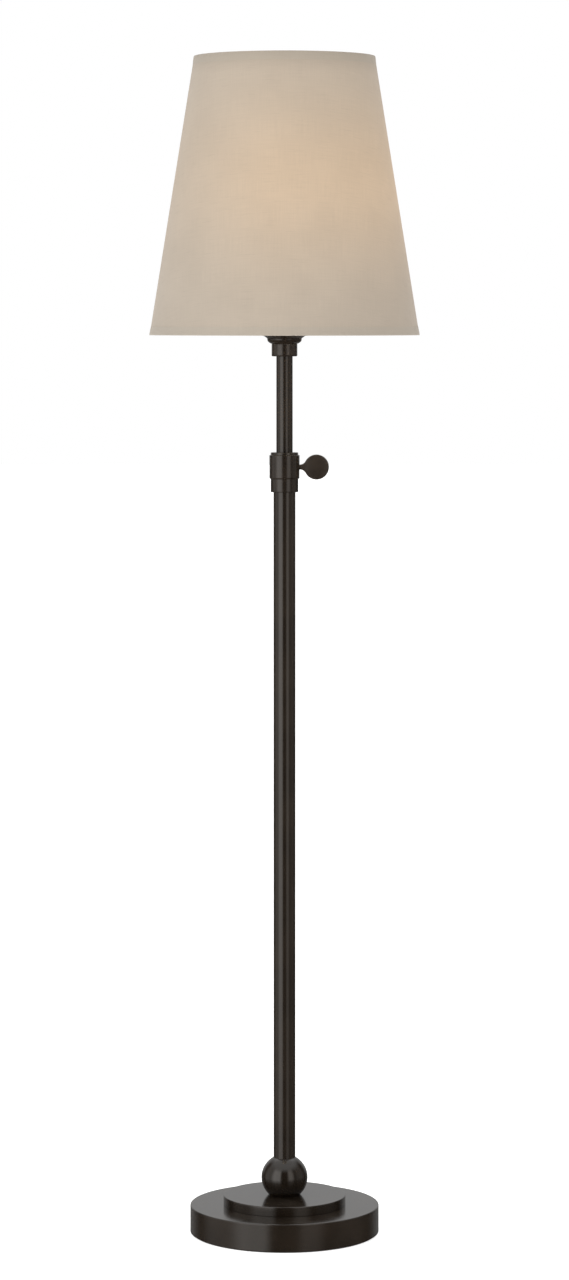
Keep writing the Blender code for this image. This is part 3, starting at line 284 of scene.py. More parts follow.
def smooth_route(points, samples):
    """A smooth curve through the points, read at equal steps between each two."""
    ends = [2 * points[0] - points[1], *points, 2 * points[-1] - points[-2]]
    route = []
    for a, b, c, d in zip(ends, ends[1:], ends[2:], ends[3:]):
        for i in range(samples):
            t = i / samples
            bend = (2 * a - 5 * b + 4 * c - d) * t * t + (3 * b - a - 3 * c + d) * t**3
            route.append(b + ((c - a) * t + bend) / 2)
    return [*route, points[-1]]


# Shader tools


def node(tree, kind, feeds=(), **settings):
    """Adds a shader node. A feed is a socket to link or a value to set, by the input's name or place."""
    made = tree.nodes.new(kind)
    made.location = (180 * (len(tree.nodes) % 12), -220 * (len(tree.nodes) // 12))
    for key, value in settings.items():
        setattr(made, key, value)
    pairs = feeds.items() if isinstance(feeds, dict) else enumerate(feeds)
    for at, value in pairs:
        if isinstance(value, bpy.types.NodeSocket):
            tree.links.new(value, made.inputs[at])
        elif value is not None:
            made.inputs[at].default_value = value
    return made


def calc(tree, operation, *values):
    return node(tree, "ShaderNodeMath", values, operation=operation).outputs[0]


def times(tree, first, second):
    return calc(tree, "MULTIPLY", first, second)


def plus(tree, first, second):
    return calc(tree, "ADD", first, second)


def split(tree, vector):
    """The X, Y and Z of a vector."""
    return node(tree, "ShaderNodeSeparateXYZ", (vector,)).outputs


def join(tree, *axes):
    """A vector of X, Y and Z."""
    return node(tree, "ShaderNodeCombineXYZ", axes).outputs[0]


def ease(tree, value, low, high, to_low=0.0, to_high=1.0):
    """Rises smoothly between two values of the input."""
    feeds = (value, low, high, to_low, to_high)
    return node(tree, "ShaderNodeMapRange", feeds, interpolation_type="SMOOTHSTEP").outputs[0]


def spread(tree, value, low, high, to_low, to_high):
    """Rises evenly between two values of the input."""
    return node(tree, "ShaderNodeMapRange", (value, low, high, to_low, to_high)).outputs[0]


def noise(tree, vector, scale, detail=3.0, roughness=0.55):
    feeds = {"Vector": vector, "Scale": scale, "Detail": detail, "Roughness": roughness}
    return node(tree, "ShaderNodeTexNoise", feeds).outputs[0]


def blend_colours(tree, share, first, second, mode="MIX"):
    feeds = {0: share, 6: first, 7: second}
    return node(tree, "ShaderNodeMix", feeds, data_type="RGBA", blend_type=mode).outputs[2]


def rgba(colour, factor=1.0):
    """A colour as a socket takes it, darkened or lightened by a factor."""
    return (*(channel * factor for channel in colour), 1.0)


def new_group(name, inputs, outputs):
    """An empty shader node group with number or vector inputs and number outputs, and its two end nodes."""
    tree = bpy.data.node_groups.new(name, "ShaderNodeTree")
    for label, default in inputs.items():
        kind = "NodeSocketVector" if default is None else "NodeSocketFloat"
        socket = tree.interface.new_socket(name=label, in_out="INPUT", socket_type=kind)
        if default is not None:
            socket.default_value = default
    for label in outputs:
        tree.interface.new_socket(name=label, in_out="OUTPUT", socket_type="NodeSocketFloat")
    return tree, tree.nodes.new("NodeGroupInput").outputs, tree.nodes.new("NodeGroupOutput").inputs


def patina_group():
    """Clouds of two sizes, for colour and gloss that drift over a surface."""
    tree, given, out = new_group("cloudy_patina", {"Vector": None, "Scale": 30.0}, ["Cloud", "Grain"])
    broad = noise(tree, given["Vector"], given["Scale"], 3.0, 0.5)
    fine = noise(tree, given["Vector"], times(tree, given["Scale"], 14.0), 2.0, 0.6)
    tree.links.new(ease(tree, broad, 0.35, 0.65), out["Cloud"])
    tree.links.new(fine, out["Grain"])
    return tree


def turning_group():
    """The fine rings that a lathe or a polishing mop leaves round the axis."""
    tree, given, out = new_group("turning_lines", {"Vector": None, "Lines": 900.0}, ["Height"])
    axes = split(tree, given["Vector"])
    squares = [calc(tree, "POWER", axis, 2.0) for axis in (axes[0], axes[1])]
    flat = join(tree, calc(tree, "SQRT", plus(tree, *squares)), 0.0, axes[2])
    tree.links.new(noise(tree, flat, given["Lines"], 2.0, 0.7), out["Height"])
    return tree


def wear_group():
    """Where hands and cloths rub the finish: the corners, broken up so that no edge is worn evenly."""
    tree, given, out = new_group("edge_wear", {"Vector": None, "Reach": 0.5}, ["Mask"])
    corner = node(tree, "ShaderNodeAttribute", attribute_name="rub").outputs["Fac"]
    patches = noise(tree, given["Vector"], 60.0, 4.0, 0.6)
    limit = calc(tree, "SUBTRACT", 0.95, given["Reach"])
    mask = ease(tree, times(tree, corner, patches), limit, plus(tree, limit, 0.18))
    tree.links.new(mask, out["Mask"])
    return tree


def dust_group():
    """Dust that settles on what faces up."""
    tree, given, out = new_group("settled_dust", {"Vector": None, "Amount": 0.3}, ["Mask"])
    normal = node(tree, "ShaderNodeNewGeometry").outputs["Normal"]
    up = ease(tree, split(tree, normal)[2], 0.55, 0.98)
    patches = ease(tree, noise(tree, given["Vector"], 45.0, 5.0, 0.65), 0.3, 0.8)
    tree.links.new(times(tree, times(tree, up, patches), given["Amount"]), out["Mask"])
    return tree


def weave_group():
    """A plain weave on a UV map in metres, with uneven threads and thick slubs in the weft."""
    inputs = {"Vector": None, "Threads": 1100.0}
    tree, given, out = new_group("linen_weave", inputs, ["Height", "Tone", "Slub"])
    axes = split(tree, given["Vector"])
    across = times(tree, axes[0], given["Threads"])
    along = times(tree, axes[1], given["Threads"])
    waves = [calc(tree, "SINE", times(tree, count, math.pi)) for count in (across, along)]
    crossing = times(tree, *waves)
    warp = noise(tree, join(tree, across, times(tree, along, 0.03), 0.0), 1.0)
    weft = noise(tree, join(tree, times(tree, across, 0.03), along, 3.0), 1.0)
    streak = join(tree, times(tree, across, 0.035), times(tree, along, 0.7), 9.0)
    slub = ease(tree, noise(tree, streak, 1.0, 1.0), 0.62, 0.74)
    tone = times(tree, plus(tree, warp, weft), 0.5)
    height = plus(tree, times(tree, crossing, 0.35), plus(tree, tone, slub))
    tree.links.new(height, out["Height"])
    tree.links.new(tone, out["Tone"])
    tree.links.new(slub, out["Slub"])
    return tree


GROUP_MAKERS = {
    "cloudy_patina": patina_group,
    "turning_lines": turning_group,
    "edge_wear": wear_group,
    "settled_dust": dust_group,
    "linen_weave": weave_group,
}


def effect(tree, name, vector, **values):
    """Places one of the shared effects in a material, with its own values."""
    group = bpy.data.node_groups.get(name) or GROUP_MAKERS[name]()
    made = node(tree, "ShaderNodeGroup", node_tree=group)
    tree.links.new(vector, made.inputs["Vector"])
    for key, value in values.items():
        made.inputs[key].default_value = value
    return made.outputs


def start_material(name, **values):
    """A new material, its tree, its shader and the coordinates of the piece that wears it."""
    material = bpy.data.materials.new(name)
    material.use_nodes = True
    tree = material.node_tree
    shader = tree.nodes["Principled BSDF"]
    for key, value in values.items():
        shader.inputs[key.replace("_", " ")].default_value = value
    return material, tree, shader.inputs, node(tree, "ShaderNodeTexCoord").outputs


def raise_bump(tree, height, distance, strength=1.0, normal=None):
    feeds = {"Strength": strength, "Distance": distance, "Height": height}
    if normal is not None:
        feeds["Normal"] = normal
    return node(tree, "ShaderNodeBump", feeds).outputs[0]


# Finishes


def bronze(name, colour, rubbed, roughness, patches, lines, wear, dust):
    """Lacquered dark bronze: cloudy, faintly ringed, rubbed at the corners and a little dusty."""
    material, tree, shader, where = start_material(name, IOR=1.56)
    patina = effect(tree, "cloudy_patina", where["Object"], Scale=patches)
    rings = effect(tree, "turning_lines", where["Object"], Lines=lines)
    rub = effect(tree, "edge_wear", where["Object"], Reach=wear)
    settled = effect(tree, "settled_dust", where["Object"], Amount=dust)
    ground = blend_colours(tree, patina["Cloud"], rgba(colour, 0.85), rgba(colour, 1.2))
    worn = blend_colours(tree, rub["Mask"], ground, rgba(rubbed))
    tree.links.new(blend_colours(tree, settled["Mask"], worn, DUST), shader["Base Color"])
    gloss = spread(tree, patina["Cloud"], 0.0, 1.0, roughness * 0.92, roughness * 1.1)
    gloss = plus(tree, gloss, spread(tree, patina["Grain"], 0.3, 0.7, -0.01, 0.01))
    gloss = plus(tree, gloss, times(tree, settled["Mask"], 0.35))
    tree.links.new(gloss, shader["Roughness"])
    tree.links.new(times(tree, rub["Mask"], 0.7), shader["Metallic"])
    fine = raise_bump(tree, rings["Height"], 0.001 * MM, 0.2)
    tree.links.new(raise_bump(tree, patina["Grain"], 0.002 * MM, 0.15, fine), shader["Normal"])
    return material


def plain_metal(name, colour, roughness, lines=700.0):
    """Bare metal such as plated steel or brass, with drawing lines, tarnish clouds and bright corners."""
    material, tree, shader, where = start_material(name, Metallic=1.0)
    patina = effect(tree, "cloudy_patina", where["Object"], Scale=90.0)
    rings = effect(tree, "turning_lines", where["Object"], Lines=lines)
    rub = effect(tree, "edge_wear", where["Object"], Reach=0.55)
    ground = blend_colours(tree, patina["Cloud"], rgba(colour), rgba(colour, 0.62))
    bright = blend_colours(tree, rub["Mask"], ground, rgba(colour, 1.2))
    tree.links.new(bright, shader["Base Color"])
    tree.links.new(spread(tree, patina["Cloud"], 0.0, 1.0, roughness, roughness + 0.14), shader["Roughness"])
    tree.links.new(raise_bump(tree, rings["Height"], 0.02 * MM, 0.6), shader["Normal"])
    return material


def cast_iron(name, colour):
    """Rough cast iron under a thin coat of primer."""
    material, tree, shader, where = start_material(name, Roughness=0.8)
    patina = effect(tree, "cloudy_patina", where["Object"], Scale=50.0)
    rust = (0.09, 0.05, 0.03, 1.0)
    tree.links.new(blend_colours(tree, patina["Cloud"], rgba(colour), rust), shader["Base Color"])
    tree.links.new(spread(tree, patina["Grain"], 0.2, 0.8, 0.65, 0.95), shader["Roughness"])
    tree.links.new(raise_bump(tree, patina["Grain"], 0.3 * MM), shader["Normal"])
    return material


def moulding(name, colour, roughness, grain):
    """Moulded plastic: fine grain and faint clouding, with a little polish where hands touch it."""
    material, tree, shader, where = start_material(name, IOR=1.5)
    patina = effect(tree, "cloudy_patina", where["Object"], Scale=60.0)
    rub = effect(tree, "edge_wear", where["Object"], Reach=0.5)
    ground = blend_colours(tree, patina["Cloud"], rgba(colour), rgba(colour, 0.82))
    worn = rgba([min(1.0, channel * 1.3 + 0.01) for channel in colour])
    tree.links.new(blend_colours(tree, rub["Mask"], ground, worn), shader["Base Color"])
    gloss = spread(tree, patina["Grain"], 0.3, 0.7, roughness - 0.05, roughness + 0.07)
    polished = calc(tree, "SUBTRACT", gloss, times(tree, rub["Mask"], 0.1))
    tree.links.new(polished, shader["Roughness"])
    pits = noise(tree, where["Object"], 2600.0, 2.0)
    tree.links.new(raise_bump(tree, pits, grain), shader["Normal"])
    return material


def fibre(name, colour, tuft):
    """Pressed fibre such as felt or card: tangled, soft at the surface and uneven in tone."""
    sheen = {"Sheen_Weight": 0.3, "Sheen_Roughness": 0.6}
    material, tree, shader, where = start_material(name, Roughness=0.95, **sheen)
    patina = effect(tree, "cloudy_patina", where["Object"], Scale=120.0)
    hairs = noise(tree, where["Object"], 1500.0, 4.0, 0.75)
    ground = blend_colours(tree, patina["Cloud"], rgba(colour), rgba(colour, 0.8))
    tufted = blend_colours(tree, ease(tree, hairs, 0.5, 0.75), ground, rgba(colour, 1.5))
    tree.links.new(tufted, shader["Base Color"])
    tree.links.new(raise_bump(tree, hairs, tuft), shader["Normal"])
    return material


def opal_glass(name, glow):
    """The frosted globe of a lit bulb, brightest at its middle and dimmer towards its neck."""
    material, tree, shader, where = start_material(name, Roughness=0.35, Emission_Strength=2.2)
    low, high = (corner.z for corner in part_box("bulb_glass"))
    height = split(tree, where["Object"])[2]
    lit = ease(tree, height, low, (low + high) / 2, 0.25, 1.0)
    frost = effect(tree, "cloudy_patina", where["Object"], Scale=70.0)
    bright = times(tree, lit, spread(tree, frost["Cloud"], 0.0, 1.0, 0.94, 1.0))
    tree.links.new(blend_colours(tree, bright, BLACK, rgba(glow)), shader["Emission Color"])
    tree.links.new(spread(tree, frost["Grain"], 0.3, 0.7, 0.3, 0.45), shader["Roughness"])
    shader["Base Color"].default_value = (0.86, 0.84, 0.80, 1.0)
    return material


def bell(tree, away, width):
    """Falls from one to nothing with the distance, along a bell curve of this width."""
    squared = calc(tree, "POWER", calc(tree, "DIVIDE", away, width), 2.0)
    return calc(tree, "POWER", math.e, times(tree, squared, -1.0))


def warm_light(tree, place, glow, strength):
    """The lamplight in the shade, strongest above the bulb, and painted fainter towards -X, down to 0.3 of
    its strength: painted shade on that side.
    """
    across, _, height = split(tree, place)
    # Painted shade: the glow fades towards the -X side of the shade.
    painted_side_fade = ease(tree, across, -110 * MM, 0.0, 0.30, 1.0)
    low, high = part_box("bulb_glass")
    brightest = (low.z + 2 * high.z) / 3 + 26 * MM
    away = calc(tree, "ABSOLUTE", calc(tree, "SUBTRACT", height, brightest))
    near = times(tree, bell(tree, away, 72 * MM), 0.75)
    wide = times(tree, bell(tree, away, 130 * MM), 0.25)
    level = times(tree, times(tree, plus(tree, near, wide), strength), painted_side_fade)
    return blend_colours(tree, level, BLACK, rgba(glow))


def linen(name, colour, glow, threads, strength, hem):
    """Woven linen on a stiff backing, with mottled thread tone, slubs and the lamplight behind it."""
    sheen = {"Sheen_Weight": 0.12, "Sheen_Roughness": 0.5}
    material, tree, shader, where = start_material(name, Roughness=0.88, **sheen)
    weave = effect(tree, "linen_weave", where["UV"], Threads=threads)
    patina = effect(tree, "cloudy_patina", where["Object"], Scale=22.0)
    height = split(tree, where["Object"])[2]
    tone = spread(tree, weave["Tone"], 0.3, 0.7, 0.94, 1.04)
    tone = times(tree, tone, spread(tree, patina["Cloud"], 0.0, 1.0, 0.975, 1.015))
    tone = calc(tree, "SUBTRACT", tone, times(tree, weave["Slub"], 0.05))
    # Painted shade: the cloth's colour is darker over the top of the shade and towards its lower rim. The
    # glow is multiplied by the same tone, so it dims there too, which in part stands for the tape's thicker
    # layers.
    painted_shade_top = ease(tree, height, SHADE_TOP - 2.6 * TRIM_HEIGHT, SHADE_TOP - 0.2 * TRIM_HEIGHT, 1.0, 0.86)
    painted_shade_low = ease(tree, height, SHADE_BOTTOM, SHADE_BOTTOM + 1.5 * TRIM_HEIGHT, hem, 1.0)
    tone = times(tree, tone, times(tree, painted_shade_top, painted_shade_low))
    # The cloth's colour carries the weave's tone and the painted shade at the rims.
    woven_tone_and_painted_shade = blend_colours(tree, 1.0, rgba(colour), tone, "MULTIPLY")
    tree.links.new(woven_tone_and_painted_shade, shader["Base Color"])
    tree.links.new(spread(tree, weave["Tone"], 0.3, 0.7, 0.82, 0.94), shader["Roughness"])
    tree.links.new(raise_bump(tree, weave["Height"], 0.08 * MM, 0.45), shader["Normal"])
    light = blend_colours(tree, 1.0, warm_light(tree, where["Object"], glow, strength), tone, "MULTIPLY")
    tree.links.new(light, shader["Emission Color"])
    shader["Emission Strength"].default_value = 1.0
    return material


def styrene(name, colour, glow, strength):
    """The smooth white backing inside the shade, with faint roller marks and the bulb's light in it."""
    material, tree, shader, where = start_material(name, Roughness=0.5)
    patina = effect(tree, "cloudy_patina", where["Object"], Scale=35.0)
    ground = blend_colours(tree, patina["Cloud"], rgba(colour), rgba(colour, 0.95))
    tree.links.new(ground, shader["Base Color"])
    tree.links.new(spread(tree, patina["Grain"], 0.3, 0.7, 0.45, 0.6), shader["Roughness"])
    tree.links.new(raise_bump(tree, patina["Grain"], 0.05 * MM, 0.4), shader["Normal"])
    tree.links.new(warm_light(tree, where["Object"], glow, strength), shader["Emission Color"])
    shader["Emission Strength"].default_value = 1.0
    return material


def finish(name):
    """A finish by its name, mixed the first time that a piece asks for it."""
    full = "lamp_" + name
    ready = bpy.data.materials.get(full)
    if ready:
        return ready
    colours = bpy.context.scene.lamp_colours
    threads = 1 / bpy.context.scene.lamp_sizes.thread_pitch
    rubbed = colours.rubbed
    dark = colours.bronze
    # Painted light: the knob wears a copy of the bronze made 1.7 times lighter, so that its flat disc looks
    # lit.
    lit_knob_bronze = rgba(dark, 1.7)[:3]
    makers = {
        "bronze_base": lambda: bronze(full, dark, rubbed, 0.15, 24.0, 900.0, 0.22, 0.05),
        "bronze_column": lambda: bronze(full, dark, rubbed, 0.17, 30.0, 500.0, 0.22, 0.03),
        "bronze_upper": lambda: bronze(full, dark, rubbed, 0.20, 34.0, 500.0, 0.22, 0.03),
        "bronze_fittings": lambda: bronze(full, dark, rubbed, 0.20, 60.0, 1200.0, 0.32, 0.04),
        "bronze_knob": lambda: bronze(full, lit_knob_bronze, rubbed, 0.32, 60.0, 1200.0, 0.32, 0.04),
        "steel": lambda: plain_metal(full, (0.55, 0.55, 0.56), 0.28),
        "brass": lambda: plain_metal(full, colours.brass, 0.26),
        "iron": lambda: cast_iron(full, (0.06, 0.06, 0.062)),
        "nylon": lambda: moulding(full, (0.72, 0.70, 0.64), 0.45, 0.02 * MM),
        "phenolic": lambda: moulding(full, (0.022, 0.018, 0.016), 0.32, 0.01 * MM),
        "lead": lambda: moulding(full, (0.10, 0.065, 0.04), 0.5, 0.03 * MM),
        "felt": lambda: fibre(full, (0.030, 0.027, 0.024), 0.35 * MM),
        "card": lambda: fibre(full, (0.30, 0.21, 0.12), 0.08 * MM),
        "bulb_glass": lambda: opal_glass(full, colours.glow),
        "linen": lambda: linen(full, colours.linen, colours.glow_through, threads, 1.0, 0.97),
        "linen_tape": lambda: linen(full, colours.hem, colours.glow_through, threads, 0.8, 0.95),
        "styrene": lambda: styrene(full, (0.84, 0.80, 0.72), colours.glow, 0.35),
    }
    return makers[name]()


# Base


def put_turned(name, corners, body, slot, look, node_name, steps=ROUND, place=UPRIGHT):
    """Puts a turned piece in the scene, which stands for one node."""
    return put(name, turned(name, corners, steps, place), body, slot, finish(look), node_name)


def build_base(sizes):
    lip = sizes.lip_rounding
    low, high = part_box("base_shell")
    wall = 1.5 * MM
    inside = high.x - wall
    ceiling = high.z - wall
    cover = [(inside, low.z, -0.2 * MM), (high.x, low.z, 0.3 * MM), (high.x, high.z, lip)]
    cover += [(ROD_BORE, high.z, 0), (ROD_BORE, ceiling, 0), (inside, ceiling, -0.5 * MM)]
    put_turned("base_cover", cover, "root", "bronze", "bronze_base", "base_shell", FINE)
    floor = high.z + SEAT_GAP
    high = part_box("base_step")[1]
    plinth = ring_corners(ROD_BORE, high.x, floor, high.z, (0, 0.15 * MM, 0.7 * lip, 0))
    put_turned("base_plinth", plinth, "root", "bronze", "bronze_base", "base_step", FINE)
    put("base_globe", ball_mesh("base_globe"), "root", "bronze", finish("bronze_base"), "base_ball")
    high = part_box("base_felt")[1]
    pad = rod_corners(high.x, 0, high.z, 0.35 * MM, 0.3 * MM)
    felt = put_turned("felt_pad", pad, "root", "felt", "felt", "base_felt", FINE)
    build_grommet()


def ball_mesh(name):
    """The ball over the base: flat where it stands, bored for the rod, with a seat for the column."""
    radius = 22.0 * MM
    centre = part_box("base_ball")[0].z + 16.2 * MM
    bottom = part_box("base_step")[1].z + SEAT_GAP
    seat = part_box("lower_tube")[1].x + SEAT_GAP
    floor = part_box("lower_tube")[0].z - SEAT_GAP
    foot = math.sqrt(radius**2 - (centre - bottom) ** 2)
    start_angle = math.degrees(math.atan2(bottom - centre, foot))
    end_angle = math.degrees(math.acos(seat / radius))
    shape = new_shape()
    start = shape.verts.new((foot, 0, bottom))
    crown = swing(shape, start, (0, centre), end_angle - start_angle, 56)
    bore = ((seat, floor), (ROD_BORE, floor), (ROD_BORE, bottom))
    corners = [shape.verts.new((across, 0, height)) for across, height in bore]
    for pair in zip([crown, *corners], [*corners, start]):
        shape.edges.new(pair)
    turn_outline(shape, FINE)
    return finish_mesh(name, shape)


def build_grommet():
    """The moulded inlet at the rear of the base, which no lead is drawn through."""
    low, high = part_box("cord_bushing")
    flange = (high.x - low.x) / 2
    axis = (high.z + low.z) / 2
    barrel = flange - 1.8 * MM
    bore = 4.0 * MM
    length = high.y - low.y
    seat = length - 1.5 * MM
    corners = [(bore, 0, -0.3 * MM), (barrel, 0, 0.3 * MM), (barrel, seat, -0.1 * MM)]
    corners += [(flange, seat, 0.2 * MM), (flange, length, 0.6 * MM), (bore, length, 0.5 * MM)]
    place = Matrix.Translation((0, low.y, axis)) @ Matrix.Rotation(-math.pi / 2, 4, "X")
    put_turned("lead_grommet", corners, "root", "phenolic", "phenolic", "cord_bushing", COARSE, place)


# Column


def tube(name, node_name, wall, look, body):
    low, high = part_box(node_name)
    corners = ring_corners(high.x - wall, high.x, low.z, high.z, [0.2 * MM] * 4)
    put_turned(name, corners, body, "bronze", look, node_name)


def bored(mesh, cutter):
    """The mesh with a hole cut through it in the shape of another closed mesh."""
    name = mesh.name
    block = bpy.data.objects.new("block", mesh)
    tool = bpy.data.objects.new("tool", cutter)
    for item in (block, tool):
        bpy.context.scene.collection.objects.link(item)
    block.modifiers.new("hole", "BOOLEAN").object = tool
    made = bpy.data.meshes.new_from_object(block.evaluated_get(bpy.context.evaluated_depsgraph_get()))
    bpy.data.objects.remove(block)
    bpy.data.objects.remove(tool)
    bpy.data.meshes.remove(mesh)
    bpy.data.meshes.remove(cutter)
    made.name = name
    made.shade_smooth()
    made.set_sharp_from_angle(angle=SHARP_ANGLE)
    return made


def build_column():
    tube("column_tube", "lower_tube", 1.2 * MM, "bronze_column", "root")
    tube("sliding_tube", "upper_tube", 1.0 * MM, "bronze_upper", "upper_column")
    low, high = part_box("column_ferrule")
    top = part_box("clamp_collar")[0].z - SEAT_GAP
    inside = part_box("lower_tube")[1].x + SEAT_GAP
    ring = ring_corners(inside, high.x, low.z, top, (0.3 * MM, 0.6 * MM, 0.15 * MM, 0))
    put_turned("ferrule_ring", ring, "root", "bronze", "bronze_fittings", "column_ferrule")
    low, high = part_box("clamp_collar")
    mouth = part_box("upper_tube")[1].x + SLIDE_GAP
    ledge = high.z - 2 * MM
    collar = [(inside, low.z, 0), (high.x, low.z, 1.1 * MM), (high.x, high.z - 2.6 * MM, 0.45 * MM)]
    collar += [(high.x - 1.2 * MM, high.z - 2.3 * MM, -0.2 * MM), (high.x - 1.3 * MM, high.z, 0.6 * MM)]
    collar += [(mouth, high.z, 0.35 * MM), (mouth, ledge, 0), (inside, ledge, 0)]
    screw_low, screw_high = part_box("thumbscrew")
    aim = Matrix.Translation((0, 0, (screw_low.z + screw_high.z) / 2)) @ Matrix.Rotation(math.pi / 2, 4, "Y")
    drill = turned("screw_hole", rod_corners(2.65 * MM, 4 * MM, 20 * MM), COARSE, aim)
    sleeve = bored(turned("clamp_sleeve", collar), drill)
    put("clamp_sleeve", sleeve, "root", "bronze", finish("bronze_fittings"), "clamp_collar")


def build_thumbscrew():
    """A flat round disc that runs into its shank through two hollow curves, like a drop."""
    low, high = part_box("thumbscrew")
    middle = (low.z + high.z) / 2
    grip = (high.z - low.z) / 2
    centre = high.x - grip
    neck = 2.3 * MM
    fillet = 6.0 * MM
    thickness = 4.4 * MM
    reach = math.sqrt((grip + fillet) ** 2 - (neck + fillet) ** 2)
    lean = math.degrees(math.atan2(neck + fillet, reach))
    shape = new_shape()
    start = shape.verts.new((centre - reach, 0, -neck))
    corner = swing(shape, start, (centre - reach, -neck - fillet), lean - 90, 10)
    corner = swing(shape, corner, (centre, 0), 360 - 2 * lean, 64)
    corner = swing(shape, corner, (centre - reach, neck + fillet), lean - 90, 10)
    shape.edges.new((corner, start))
    plate_shape(shape, thickness, 0.8 * MM)
    shank_end = centre - reach + 2 * MM
    shank = turned_shape(rod_corners(2.4 * MM, low.x, shank_end, 0.2 * MM, 0.4 * MM), COARSE)
    bmesh.ops.transform(shank, matrix=Matrix.Rotation(math.pi / 2, 4, "Y"), verts=shank.verts)
    mesh = together("thumb_disc", [shape, shank], Matrix.Translation((0, 0, middle)))
    put("thumb_disc", mesh, "thumbscrew", "bronze", finish("bronze_knob"), "thumbscrew")


def build_neck():
    low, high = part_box("neck_coupler")
    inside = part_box("upper_tube")[1].x + SLIDE_GAP
    ledge = low.z + 8.3 * MM
    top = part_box("socket_cup")[0].z - SEAT_GAP
    neck = [(inside, low.z, 0.3 * MM), (high.x, low.z, 1.2 * MM), (high.x, top, 0.4 * MM)]
    neck += [(ROD_BORE, top, 0), (ROD_BORE, ledge, 0), (inside, ledge, 0)]
    put_turned("neck_barrel", neck, "upper_column", "bronze", "bronze_fittings", "neck_coupler")
    low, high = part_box("socket_cup")
    wall = 0.8 * MM
    belly = 16.15 * MM
    hollow = belly - wall
    lip = high.z - wall
    waist = lip - 2.5 * MM
    cup = [(ROD_BORE, low.z, 0), (12.5 * MM, low.z, 0.3 * MM), (belly, low.z + 2.1 * MM, 1.8 * MM)]
    cup += [(belly, waist, -0.5 * MM), (19.6 * MM, lip, -1.2 * MM), (high.x, lip, 0.35 * MM)]
    cup += [(high.x, high.z, 0.35 * MM), (19.2 * MM, high.z, 1.2 * MM), (hollow, waist + wall, 0.4 * MM)]
    cup += [(hollow, low.z + 2.6 * MM, -1.4 * MM), (12.3 * MM, low.z + wall, -0.3 * MM)]
    cup += [(ROD_BORE, low.z + wall, 0)]
    put_turned("shade_cup", cup, "upper_column", "bronze", "bronze_fittings", "socket_cup")


# Lampholder and bulb


def build_lampholder():
    low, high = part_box("socket_cap")
    wall = 0.8 * MM
    rim = high.x
    bead = rim + 0.6 * MM
    cap = [(ROD_BORE, low.z, 0), (9.0 * MM, low.z, 1.5 * MM), (rim, low.z + 9.5 * MM, 5.0 * MM)]
    cap += [(rim, high.z - 3.0 * MM, -0.3 * MM), (bead, high.z - 2.4 * MM, 0.4 * MM)]
    cap += [(bead, high.z - 1.0 * MM, 0.4 * MM), (rim, high.z - 0.4 * MM, -0.2 * MM), (rim, high.z, 0.2 * MM)]
    cap += [(rim - wall, high.z, 0.2 * MM), (rim - wall, low.z + 9.9 * MM, -4.6 * MM)]
    cap += [(8.8 * MM, low.z + wall, -1.0 * MM), (ROD_BORE, low.z + wall, 0)]
    put_turned("holder_cap", cap, "upper_column", "brass", "brass", "socket_cap")
    low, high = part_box("socket_shell")
    skin = high.x
    inside = skin - 0.6 * MM
    rib = skin + 0.5 * MM
    rim = skin + 0.6 * MM
    shell = [(inside, low.z, 0), (skin, low.z, 0.2 * MM), (skin, low.z + 15 * MM, -0.4 * MM)]
    shell += [(rib, low.z + 15.8 * MM, 0.5 * MM), (rib, low.z + 17.2 * MM, 0.5 * MM)]
    shell += [(skin, low.z + 18 * MM, -0.4 * MM), (skin, high.z - 2.4 * MM, -0.3 * MM)]
    shell += [(rim, high.z - 1.8 * MM, 0.5 * MM), (rim, high.z, 0.5 * MM), (inside, high.z, 0.2 * MM)]
    put_turned("holder_shell", shell, "upper_column", "brass", "brass", "socket_shell")
    build_key()


def build_key():
    """The switch's flat key with rounded edges, on its round stem."""
    low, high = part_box("switch_key")
    axis = (low.z + high.z) / 2
    wide = high.x
    root = high.y - 16.9 * MM
    end = low.y + wide
    shape = new_shape()
    half_neck = 2.4 * MM
    neck = shape.verts.new((half_neck, 0, -root))
    shoulder = shape.verts.new((wide, 0, -end))
    shape.edges.new((neck, shoulder))
    corner = swing(shape, shoulder, (0, -end), 180, 20)
    far = shape.verts.new((-half_neck, 0, -root))
    shape.edges.new((corner, far))
    shape.edges.new((far, neck))
    plate_shape(shape, high.z - low.z, 1.0 * MM)
    stem = turned_shape(rod_corners(1.8 * MM, -high.y, -end, 0.2 * MM, 0.3 * MM), COARSE)
    place = Matrix.Translation((0, 0, axis)) @ Matrix.Rotation(math.pi / 2, 4, "X")
    mesh = together("key_paddle", [shape, stem], place)
    put("key_paddle", mesh, "switch_key", "phenolic", finish("phenolic"), "switch_key")


